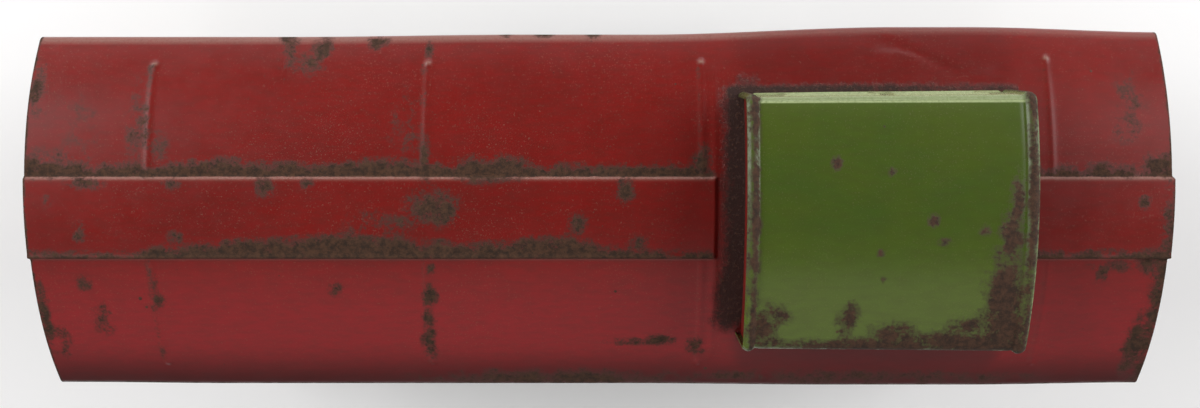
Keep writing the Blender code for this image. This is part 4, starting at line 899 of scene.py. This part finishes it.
def make_sides():
    """The side walls: upright boards pressed in the sheet, with a rolled rail along top and bottom."""
    front, rear, sill, head = body_windows()
    for side, way in SIDES:
        low, high = box_of(f"body_side_{side}")
        joints = np.arange(low[0], high[0] + BOARD_PITCH / 2, BOARD_PITCH)
        u = graded(low[0], high[0], 1.6 * MM, 0.16 * MM, joints, 0.55 * MM)
        u = np.unique(np.concatenate([u, [edge for span in (*front, *rear) for edge in span]]))
        near = [low[2] + 3 * MM, high[2] - 4 * MM, sill, head]
        v = graded(low[2], high[2], 2.5 * MM, 0.3 * MM, near, 1.6 * MM)
        v = np.unique(np.concatenate([v, [sill, head]]))
        u, v = np.meshgrid(u, v, indexing="ij")
        rail = np.minimum(v - low[2], high[2] - v)
        on_boards = smooth(rail, 4.2 * MM, 5 * MM)
        depth = grooves(u, low[0], BOARD_PITCH, 0.5 * MM, 0.34 * MM) * on_boards
        depth = depth + 0.25 * MM * on_boards - 0.03 * MM * wavy(u, v)
        face = low[1] if way < 0 else high[1]
        outer = np.stack([u, face - way * depth, v], -1)
        inner = np.stack([u, face - way * (depth + WALL), v], -1)
        middle_u, middle_v = (g[:-1, :-1] / 2 + g[1:, 1:] / 2 for g in (u, v))
        keep = np.ones(middle_u.shape, bool)
        for a, b in (*front, *rear):
            keep &= ~((middle_u > a) & (middle_u < b) & (middle_v > sill) & (middle_v < head))
        foot = 0.5 * (1 - smooth(v - low[2], 0, 4 * MM))
        foot = foot + 0.25 * smooth(np.abs(u), high[0] - 5 * MM, high[0])
        under_window = 0.3 * hump(v - sill + 5 * MM, 3 * MM) * (np.abs(np.abs(u) - 62 * MM) < 24 * MM)
        rust = np.tile(np.maximum(foot, under_window).ravel(), 2)
        sheet = thick(outer, inner, keep)
        wall = shape(f"boarded_side_{side}", *sheet, FINISHES["body_green"], 50, rust=rust)
        fit(wall, "car", "body_green", f"body_side_{side}")
        heights = (low[2] + 2 * MM, high[2] - 2 * MM)
        rows = [(x, face, z) for z in heights for x in joints[:-1] + BOARD_PITCH / 2]
        heads = domes(rows, (0, way, 0), 0.55 * MM, 0.32 * MM)
        fit(shape(f"side_rivets_{side}", *heads, FINISHES["body_green"]), "car", "body_green")
        for end, pair in (("front", front), ("rear", rear)):
            stamped_frame(f"window_frame_{side}_{end}", way, pair, sill, head, 1.0 * MM)


END_WINDOW = (9 * MM, 23 * MM)
SPRINGING = 84 * MM
DOOR_LAP = 2 * MM


def make_ends():
    """The end walls: upright boards under the roof's arch, with a rimmed doorway and two rimmed windows.

    Above the springing height the rows spread out evenly up to the arch, z = sqrt(r^2 - y^2).
    """
    _, _, sill, head = body_windows()
    for end, way in ENDS:
        low, high = box_of(f"body_end_{end}")
        door_low, door_high = box_of(f"door_{end}")
        doorway = (
            door_low[1] + DOOR_LAP, door_high[1] - DOOR_LAP, door_low[2] + DOOR_LAP, door_high[2] - DOOR_LAP
        )
        width, middle = END_WINDOW
        windows = [(s * middle - width / 2, s * middle + width / 2, sill, head) for s in (-1, 1)]
        openings = [doorway, *windows]
        across = [edge for opening in openings for edge in opening[:2]]
        joints = np.arange(-7, 8) * BOARD_PITCH
        u = graded(low[1], high[1], 1.4 * MM, 0.16 * MM, joints, 0.55 * MM)
        u = np.unique(np.concatenate([u, across]))
        near = [low[2] + 3 * MM, *doorway[2:], sill, head]
        v = graded(low[2], SPRINGING, 2.2 * MM, 0.3 * MM, near, 1.4 * MM)
        v = np.unique(np.concatenate([v, [*doorway[2:], sill, head]]))
        rise = np.linspace(0, 1, 18)[1:]
        u_flat, v_flat = np.meshgrid(u, v, indexing="ij")
        top = ROOF_AXIS_Z + np.sqrt((high[2] - ROOF_AXIS_Z) ** 2 - u[:, None] ** 2)
        v_arch = SPRINGING + (top - SPRINGING) * rise[None, :]
        z = np.concatenate([v_flat, v_arch], 1)
        y = np.concatenate([u_flat, np.repeat(u[:, None], len(rise), 1)], 1)
        reach = [np.maximum.reduce([a - y, y - b, c - z, z - d]) for a, b, c, d in openings]
        to_opening = np.minimum.reduce(reach)
        on_boards = smooth(z - low[2], 4.2 * MM, 5 * MM) * smooth(to_opening, 1.3 * MM, 1.6 * MM)
        depth = (grooves(y, 0, BOARD_PITCH, 0.5 * MM, 0.34 * MM) + 0.25 * MM) * on_boards
        face = high[0] if way > 0 else low[0]
        outer = np.stack([face - way * depth, y, z], -1)
        inner = np.stack([face - way * (depth + WALL), y, z], -1)
        middle_y, middle_z = (g[:-1, :-1] / 2 + g[1:, 1:] / 2 for g in (y, z))
        keep = np.ones(middle_y.shape, bool)
        for a, b, c, d in openings:
            keep &= ~((middle_y > a) & (middle_y < b) & (middle_z > c) & (middle_z < d))
        foot = 0.5 * (1 - smooth(z - low[2], 0, 4 * MM))
        rust = np.tile(np.maximum(foot, 0.35 * hump(to_opening - 1.5 * MM, 0.6 * MM)).ravel(), 2)
        sheet = thick(outer, inner, keep)
        wall = shape(f"boarded_end_{end}", *sheet, FINISHES["body_green"], 50, rust=rust)
        fit(wall, "car", "body_green", f"body_end_{end}")
        places = [place for place in joints[:-1] + BOARD_PITCH / 2 if abs(place) > 11 * MM]
        rows = [(face, place, low[2] + 2 * MM) for place in places]
        heads = domes(rows, (way, 0, 0), 0.55 * MM, 0.3 * MM)
        fit(shape(f"end_rivets_{end}", *heads, FINISHES["body_green"]), "car", "body_green")
        make_door(end, way, sill)


def make_door(end, way, sill):
    """A door with two recessed panels below its rimmed window, and a turned brass knob."""
    low, high = box_of(f"door_{end}")
    window = (-6 * MM, 6 * MM, sill, sill + 12 * MM)
    floor_z = low[2] + DOOR_LAP
    widths = ((-7.5 * MM, -0.9 * MM), (0.9 * MM, 7.5 * MM))
    panels = [(*width, floor_z + 2 * MM, sill - 2.2 * MM) for width in widths]
    across = [edge for opening in (window, *panels) for edge in opening[:2]]
    up = [edge for opening in (window, *panels) for edge in opening[2:]]
    u = graded(low[1], high[1], 1.2 * MM, 0.18 * MM, across, 0.9 * MM)
    u = np.unique(np.concatenate([u, window[:2]]))
    v = graded(low[2], high[2], 1.6 * MM, 0.18 * MM, up, 0.9 * MM)
    v = np.unique(np.concatenate([v, window[2:]]))
    y, z = np.meshgrid(u, v, indexing="ij")
    inside = [np.minimum.reduce([y - a, b - y, z - c, d - z]) for a, b, c, d in panels]
    sunk = 0.42 * MM * smooth(np.maximum.reduce(inside), 0, 0.7 * MM)
    a, b, c, d = window
    beyond = np.maximum.reduce([a - y, y - b, c - z, z - d])
    rim = 0.28 * MM * np.sqrt(np.clip(1 - ((beyond - 0.7 * MM) / (0.7 * MM)) ** 2, 0, 1))
    face = high[0] if way > 0 else low[0]
    outer_x = face - way * (0.3 * MM + sunk - rim)
    outer = np.stack([outer_x, y, z], -1)
    inner = np.stack([face - way * (0.9 * MM + 0 * y), y, z], -1)
    middle_y, middle_z = (g[:-1, :-1] / 2 + g[1:, 1:] / 2 for g in (y, z))
    keep = ~((middle_y > a) & (middle_y < b) & (middle_z > c) & (middle_z < d))
    rust = np.tile((0.45 * hump(np.maximum.reduce(inside), 0.5 * MM)).ravel(), 2)
    sheet = thick(outer, inner, keep)
    leaf = shape(f"panelled_door_{end}", *sheet, FINISHES["door_red"], 45, rust=rust)
    fit(leaf, "car", "door_red", f"door_{end}")
    knob = [(0, 0), (0.5, 0), (0.5, 0.7), (1.25, 1.3), (1.35, 1.8), (0.9, 2.3), (0, 2.45)]
    knob = rounded(np.array(knob) * MM, 0.3 * MM) * (1, way)
    handle = turned(knob, (face - way * 0.3 * MM, 8.4 * MM * way, sill - 4 * MM), "X", 24)
    fit(shape(f"door_knob_{end}", *handle, FINISHES["brass"]), "car", "brass")


# ---------------------------------------------------------------- platforms


def make_railings():
    """Tube railings across the platform ends: two rows of bays, with ball tops on the end posts."""
    for end, _ in ENDS:
        low, high = box_of(f"end_railing_{end}")
        x = (low[0] + high[0]) / 2
        tube_radius = 0.62 * MM
        inset = 0.8 * MM
        left, right = low[1] + inset, high[1] - inset
        bays = np.linspace(left, right, 7)
        rails = [low[2] + inset, (low[2] + high[2]) / 2, high[2] - inset]
        parts = [rod((x, left, z), (x, right, z), tube_radius) for z in rails]
        parts += [rod((x, y, low[2]), (x, y, high[2] - inset), tube_radius * 0.88) for y in bays]
        ball = [(0, -1.0), (0.55, -0.85), (0.95, -0.3), (0.95, 0.3), (0.55, 0.85), (0, 1.0)]
        ball = rounded(np.array(ball) * MM, 0.3 * MM)
        parts += [turned(ball, (x, y, high[2] + 0.1 * MM), "Z", 20) for y in (left, right)]
        foot = rounded(np.array([(0, 0), (1.5, 0), (1.5, 0.35), (0.8, 0.9), (0, 0.9)]) * MM, 0.2 * MM)
        parts += [turned(foot, (x, y, low[2]), "Z", 20) for y in bays]
        collar = rounded(np.array([(0.3, -0.55), (0.85, -0.4), (0.85, 0.4), (0.3, 0.55)]) * MM, 0.2 * MM)
        parts += [turned(collar, (x, y, z), "Z", 16) for y in bays for z in rails[1:]]
        made = shape(f"tube_railing_{end}", *joined(parts), FINISHES["brass"], 50)
        fit(made, "car", "brass", f"end_railing_{end}")


def make_ladders():
    """Wire ladders: two stiles with flattened feet, and eight rungs between them."""
    for end, _ in ENDS:
        low, high = box_of(f"ladder_{end}")
        x = (low[0] + high[0]) / 2
        inset = 0.65 * MM
        left, right = low[1] + inset, high[1] - inset
        parts = [rod((x, y, low[2]), (x, y, high[2]), 0.55 * MM) for y in (left, right)]
        heights = np.linspace(low[2] + inset, high[2] - inset, 8)
        parts += [rod((x, left, z), (x, right, z), 0.45 * MM) for z in heights]
        bead = rounded(np.array([(0.3, -0.4), (0.72, -0.3), (0.72, 0.3), (0.3, 0.4)]) * MM, 0.15 * MM)
        parts += [turned(bead, (x, y, z), "Z", 14) for y in (left, right) for z in heights]
        made = shape(f"wire_ladder_{end}", *joined(parts), FINISHES["brass"], 50)
        fit(made, "car", "brass", f"ladder_{end}")


def make_brakes():
    """A turned staff on each platform, and a five-spoked wheel that turns on its top."""
    for end, _ in ENDS:
        low, high = box_of(f"brake_staff_{end}")
        centre = (low[:2] + high[:2]) / 2
        tall = (high[2] - low[2]) / MM
        profile = [
            (0, 0), (2.2, 0), (2.2, 0.6), (1.7, 1.0), (1.7, 1.6), (1.1, 2.4), (1.0, 12), (1.5, 12.6),
            (1.5, 13.4), (1.0, 14), (1.0, tall - 5.2), (1.1, tall - 5), (1.1, tall - 4), (0.77, tall - 4),
            (0.77, tall), (0, tall),
        ]
        staff = turned(rounded(np.array(profile) * MM, 0.25 * MM), (*centre, low[2]), "Z", 32)
        fit(shape(f"turned_staff_{end}", *staff, FINISHES["brass"]), "car", "brass", f"brake_staff_{end}")
        low, high = box_of(f"brake_wheel_{end}")
        x, y = (low[:2] + high[:2]) / 2
        z = (low[2] + high[2]) / 2
        radius = (high[0] - low[0]) / 2 - 0.85 * MM
        angle = np.arange(72) * 2 * math.pi / 72
        ring = np.stack([x + radius * np.cos(angle), y + radius * np.sin(angle), z + 0 * angle], -1)
        parts = [tube(ring, 0.85 * MM, 14, closed=True)]
        half = (high[2] - low[2]) / 2 / MM
        hub = [(1.0, -half), (2.0, -half), (2.4, -half + 0.8), (2.4, half - 0.8), (2.0, half), (1.0, half)]
        hub = rounded(np.array(hub) * MM, 0.25 * MM, closed=True)
        parts.append(turned(hub, (x, y, z), "Z", 36, closed=True))
        for spoke in np.arange(5) * 2 * math.pi / 5:
            reach = np.array([1.8 * MM, 3.2 * MM, radius - 1.4 * MM, radius])
            path = [x + reach * math.cos(spoke), y + reach * math.sin(spoke), z + 0 * reach]
            path = np.stack(path, -1)
            parts.append(tube(path, [0.85 * MM, 0.6 * MM, 0.55 * MM, 0.8 * MM], 12))
        wheel = shape(f"spoked_wheel_{end}", *joined(parts), FINISHES["frame_black"], 50)
        fit(wheel, f"brake_wheel_{end}", "frame_black", f"brake_wheel_{end}")


def make_underframe():
    """The deck's tray with rounded folds, rivets along its sills, and a tread pattern on the platforms."""
    softened("underframe", "car", "frame_black", FINISHES["frame_black"], 0.6 * MM, 4)
    low, high = box_of("underframe")
    sill_z = (low[2] + high[2]) / 2
    along = np.linspace(low[0] + 5 * MM, high[0] - 5 * MM, 46)
    across = np.linspace(low[1] + 5 * MM, high[1] - 5 * MM, 13)
    row_z = sill_z + 2.6 * MM
    parts = []
    for corner, way in ((low, -1), (high, 1)):
        side_row = [(x, corner[1], row_z) for x in along]
        parts.append(domes(side_row, (0, way, 0), 0.6 * MM, 0.35 * MM))
    for corner, way in ((low, -1), (high, 1)):
        end_row = [(corner[0], y, row_z) for y in across]
        parts.append(domes(end_row, (way, 0, 0), 0.6 * MM, 0.35 * MM))
    fit(shape("sill_rivets", *joined(parts), FINISHES["frame_black"]), "car", "frame_black")
    wall_end = box_of("body_side_left")[1][0]
    xs = np.arange(wall_end + 2.5 * MM, high[0] - 5.5 * MM, 1.6 * MM)
    ys = np.arange(low[1] + 4 * MM, high[1] - 4 * MM, 2.1 * MM)
    studs = [
        (s * x, y + (k % 2) * 1.05 * MM, high[2]) for s in (1, -1) for k, x in enumerate(xs) for y in ys
    ]
    studs = domes(studs, (0, 0, 1), 0.42 * MM, 0.16 * MM)
    fit(shape("platform_studs", *studs, FINISHES["frame_black"]), "car", "frame_black")
    for end, _ in ENDS:
        for side, _ in SIDES:
            softened(f"step_{end}_{side}", "car", "brass", FINISHES["brass"], 0.22 * MM)


# ---------------------------------------------------------------- trucks

# A wheel's profile in millimetres: radius, and distance out from its back
WHEEL = (
    (2.3, 0), (4.7, 0), (5.2, 2.6), (7.3, 2.75), (9.4, 2.7), (11.4, 2.6), (12.1, 0), (15.9, 0.3),
    (15.75, 1.5), (14.25, 2.1), (14.0, 3.4), (13.95, 7.8), (12.1, 7.8), (11.4, 5.3), (9.6, 5.2),
    (7.4, 5.2), (5.2, 5.3), (4.7, 7.8), (2.3, 7.8),
)


def make_wheels():
    """Flanged wheels with turned rims and eight ribs pressed in their webs, on round-ended axles."""
    for end, _ in ENDS:
        for row in ("outer", "inner"):
            body = f"wheelset_{end}_{row}"
            low, high = box_of(f"axle_{end}_{row}")
            x, y, z = (low + high) / 2
            tip = (high[1] - low[1]) / 2 / MM
            half = [
                (0, tip), (1.2, tip), (1.6, tip - 0.4), (1.6, tip - 3.5), (2.0, tip - 3.7), (2.0, 2.0),
                (1.75, 1.0),
            ]
            profile = np.array([*half, *((r, -d) for r, d in reversed(half))]) * MM
            axle = turned(rounded(profile, 0.2 * MM), (x, y, z), "Y", 28)
            axle = shape(f"turned_axle_{end}_{row}", *axle, FINISHES["steel"])
            fit(axle, body, "steel", f"axle_{end}_{row}")
            for side, way in SIDES:
                low, high = box_of(f"wheel_{end}_{row}_{side}")
                back = low[1] if way > 0 else high[1]

                def ribs(radius, height, angle):
                    on_web = smooth(radius, 5.4 * MM, 6.4 * MM) * (1 - smooth(radius, 10 * MM, 11.2 * MM))
                    on_face = np.abs(height) > 4 * MM
                    return way * 0.7 * MM * on_web * on_face * np.clip(np.cos(8 * angle), 0, 1) ** 2

                points = rounded(np.array(WHEEL) * MM, 0.45 * MM, closed=True) * (1, way)
                disc = turned(points, (x, back, z), "Y", 96, closed=True, relief=ribs)
                name = f"wheel_{end}_{row}_{side}"
                fit(shape(f"pressed_{name}", *disc, FINISHES["nickel"], 50), body, "nickel", name)


def coil(centre, radius, wire, turns, height):
    """A coil spring about an upright axis: wire round (r cos a, r sin a, h a)."""
    angle = np.linspace(0, 2 * math.pi * turns, int(16 * turns))
    rise = (np.linspace(0, 1, len(angle)) - 0.5) * height
    path = np.stack([radius * np.cos(angle), radius * np.sin(angle), rise], -1) + np.array(centre)
    return tube(path, wire, 8)


def make_trucks():
    """Rounded truck frames with sprung middles, lidded journal boxes and bolts, and round-headed pins."""
    for end, _ in ENDS:
        body = f"truck_{end}"
        black = FINISHES["frame_black"]
        softened(f"truck_bolster_{end}", body, "frame_black", black, 0.35 * MM, 3)
        axles = [sum(box_of(f"axle_{end}_{row}")) / 2 for row in ("outer", "inner")]
        middle_x, axle_z = (axles[0][0] + axles[1][0]) / 2, axles[0][2]
        for side, across in SIDES:
            node = f"truck_side_{end}_{side}"
            softened(node, body, "frame_black", black, 0.3 * MM, 3)
            low, high = box_of(node)
            outer = high[1] if across > 0 else low[1]
            plate_face = outer - across * 4.0 * MM
            lid = np.array([(0, 0.9), (1.2, 0.85), (2.6, 0.5), (3.3, 0.0), (3.3, -0.2), (0, -0.2)]) * MM
            lid = rounded(lid, 0.3 * MM) * (1, across)
            parts = [turned(lid, (place[0], outer, axle_z), "Y", 32) for place in axles]
            bolts = [
                (place[0] + dx * MM, outer, axle_z + dz * MM)
                for place in axles for dx in (-3.5, 3.5) for dz in (-3.5, 3.5)
            ]
            parts.append(domes(bolts, (0, across, 0), 0.6 * MM, 0.45 * MM))
            spots = [
                (middle_x + dx * MM, plate_face, axle_z + dz * MM)
                for dz in (9.2, -5.8) for dx in (-6.5, 6.5, 0)
            ]
            parts.append(domes(spots, (0, across, 0), 0.8 * MM, 0.5 * MM))
            fit(shape(f"truck_fittings_{end}_{side}", *joined(parts), black), body, "frame_black")
            y = plate_face + across * 0.5 * MM
            springs = [
                coil((middle_x + dx * MM, y, axle_z + 1.6 * MM), 2.1 * MM, 0.5 * MM, 6, 9 * MM)
                for dx in (-3.4, 3.4)
            ]
            cap = rounded(np.array([(0, -0.5), (2.9, -0.5), (2.9, 0.5), (0, 0.5)]) * MM, 0.3 * MM)
            springs += [
                turned(cap, (middle_x + dx * MM, y, axle_z + dz * MM), "Z", 24)
                for dx in (-3.4, 3.4) for dz in (-3.6, 6.8)
            ]
            fit(shape(f"truck_springs_{end}_{side}", *joined(springs), black, 50), body, "frame_black")
        softened(f"coupler_{end}", f"coupler_{end}", "nickel", FINISHES["nickel"], 0.35 * MM, 3)
        low, high = box_of(f"coupler_pin_{end}")
        x = (low[0] + high[0]) / 2
        tall = (high[2] - low[2]) / MM
        pin = [
            (0, 0), (1.9, 0.15), (2.6, 0.7), (1.4, 0.75), (1.4, tall - 0.75), (2.6, tall - 0.7),
            (1.9, tall - 0.15), (0, tall),
        ]
        rivet = turned(rounded(np.array(pin) * MM, 0.25 * MM), (x, 0, low[2]), "Z", 32)
        fit(shape(f"domed_pin_{end}", *rivet, FINISHES["steel"]), body, "steel", f"coupler_pin_{end}")
        low, high = box_of(f"king_pin_{end}")
        x = (low[0] + high[0]) / 2
        tall = (high[2] - low[2]) / MM
        stud = [
            (0, 0), (3.4, 0.1), (4.5, 0.9), (4.5, 1.6), (2.4, 1.6), (2.4, tall - 1.6), (4.5, tall - 1.6),
            (4.5, tall - 0.8), (3.0, tall - 0.1), (0, tall),
        ]
        rivet = turned(rounded(np.array(stud) * MM, 0.3 * MM), (x, 0, low[2]), "Z", 36)
        fit(shape(f"domed_king_pin_{end}", *rivet, FINISHES["steel"]), "car", "steel", f"king_pin_{end}")


make_roof()
make_cupola()
make_sides()
make_ends()
make_railings()
make_ladders()
make_brakes()
make_underframe()
make_wheels()
make_trucks()

for name, node in frame["nodes"].items():
    node.data.materials.clear()
    node.data.materials.append(FINISHES[SLOT_OF[name]])


# ---------------------------------------------------------------- floor, light and camera


def make_stage():
    """A plain pale floor."""
    half = 4.0
    corners = [(-half, -half, 0), (half, -half, 0), (half, half, 0), (-half, half, 0)]
    mesh = bpy.data.meshes.new("floor")
    mesh.from_pydata(corners, [], [(0, 1, 2, 3)])
    floor_finish = Finish("floor_card", Roughness=0.9)
    tone = floor_finish.noise(180 * MM, 3, 0.5, 1)
    floor_finish.feed("Base Color", floor_finish.mix(tone, linear(247, 246, 246), linear(251, 250, 250)))
    mesh.materials.append(floor_finish.material)
    floor = bpy.data.objects.new("floor", mesh)
    bpy.context.scene.collection.objects.link(floor)


def soft_light(name, place, aim, size, power):
    """A flat rectangular light at place that faces aim. size is its width and height."""
    data = bpy.data.lights.new(name, "AREA")
    data.shape = "RECTANGLE"
    data.size, data.size_y = size
    data.energy = power
    light = bpy.data.objects.new(name, data)
    x, y, z = np.array(aim) - np.array(place)
    light.location = place
    light.rotation_euler = (math.acos(-z / math.hypot(x, y, z)), 0, math.atan2(-x, y))
    bpy.context.scene.collection.objects.link(light)


def make_lights():
    """Soft lights to both sides, a broad low one behind, a weak one in front, and dim air."""
    middle = (0, 0, 0.08)
    soft_light("left_light", (-1.0, 0.34, 0.62), middle, (0.9, 0.9), 13.8)
    soft_light("right_light", (1.0, 0.3, 0.62), middle, (0.9, 0.9), 12.2)
    soft_light("far_light", (0, 1.0, 0.28), middle, (2.2, 0.16), 5.4)
    soft_light("near_light", (0, -0.8, 0.8), middle, (1.8, 1.0), 3.3)
    world = bpy.data.worlds.new("studio")
    world.use_nodes = True
    backdrop = world.node_tree.nodes["Background"]
    backdrop.inputs["Color"].default_value = (0.97, 0.985, 1.0, 1)
    backdrop.inputs["Strength"].default_value = 0.1
    bpy.context.scene.world = world
    bpy.context.scene.view_settings.view_transform = "Standard"


def make_camera():
    """Looks down on the roof from over its left edge, as someone holding the car in the hand would."""
    tilt = math.radians(7.36)
    data = bpy.data.cameras.new("camera")
    data.lens = 36.6
    data.sensor_width = 36
    data.clip_start = 0.01
    camera = bpy.data.objects.new("camera", data)
    camera.location = (0, 43.9 * MM, CROWN + 308.6 * MM)
    camera.rotation_euler = (-tilt, 0, 0)
    bpy.context.scene.collection.objects.link(camera)
    bpy.context.scene.camera = camera


make_stage()
make_lights()
make_camera()
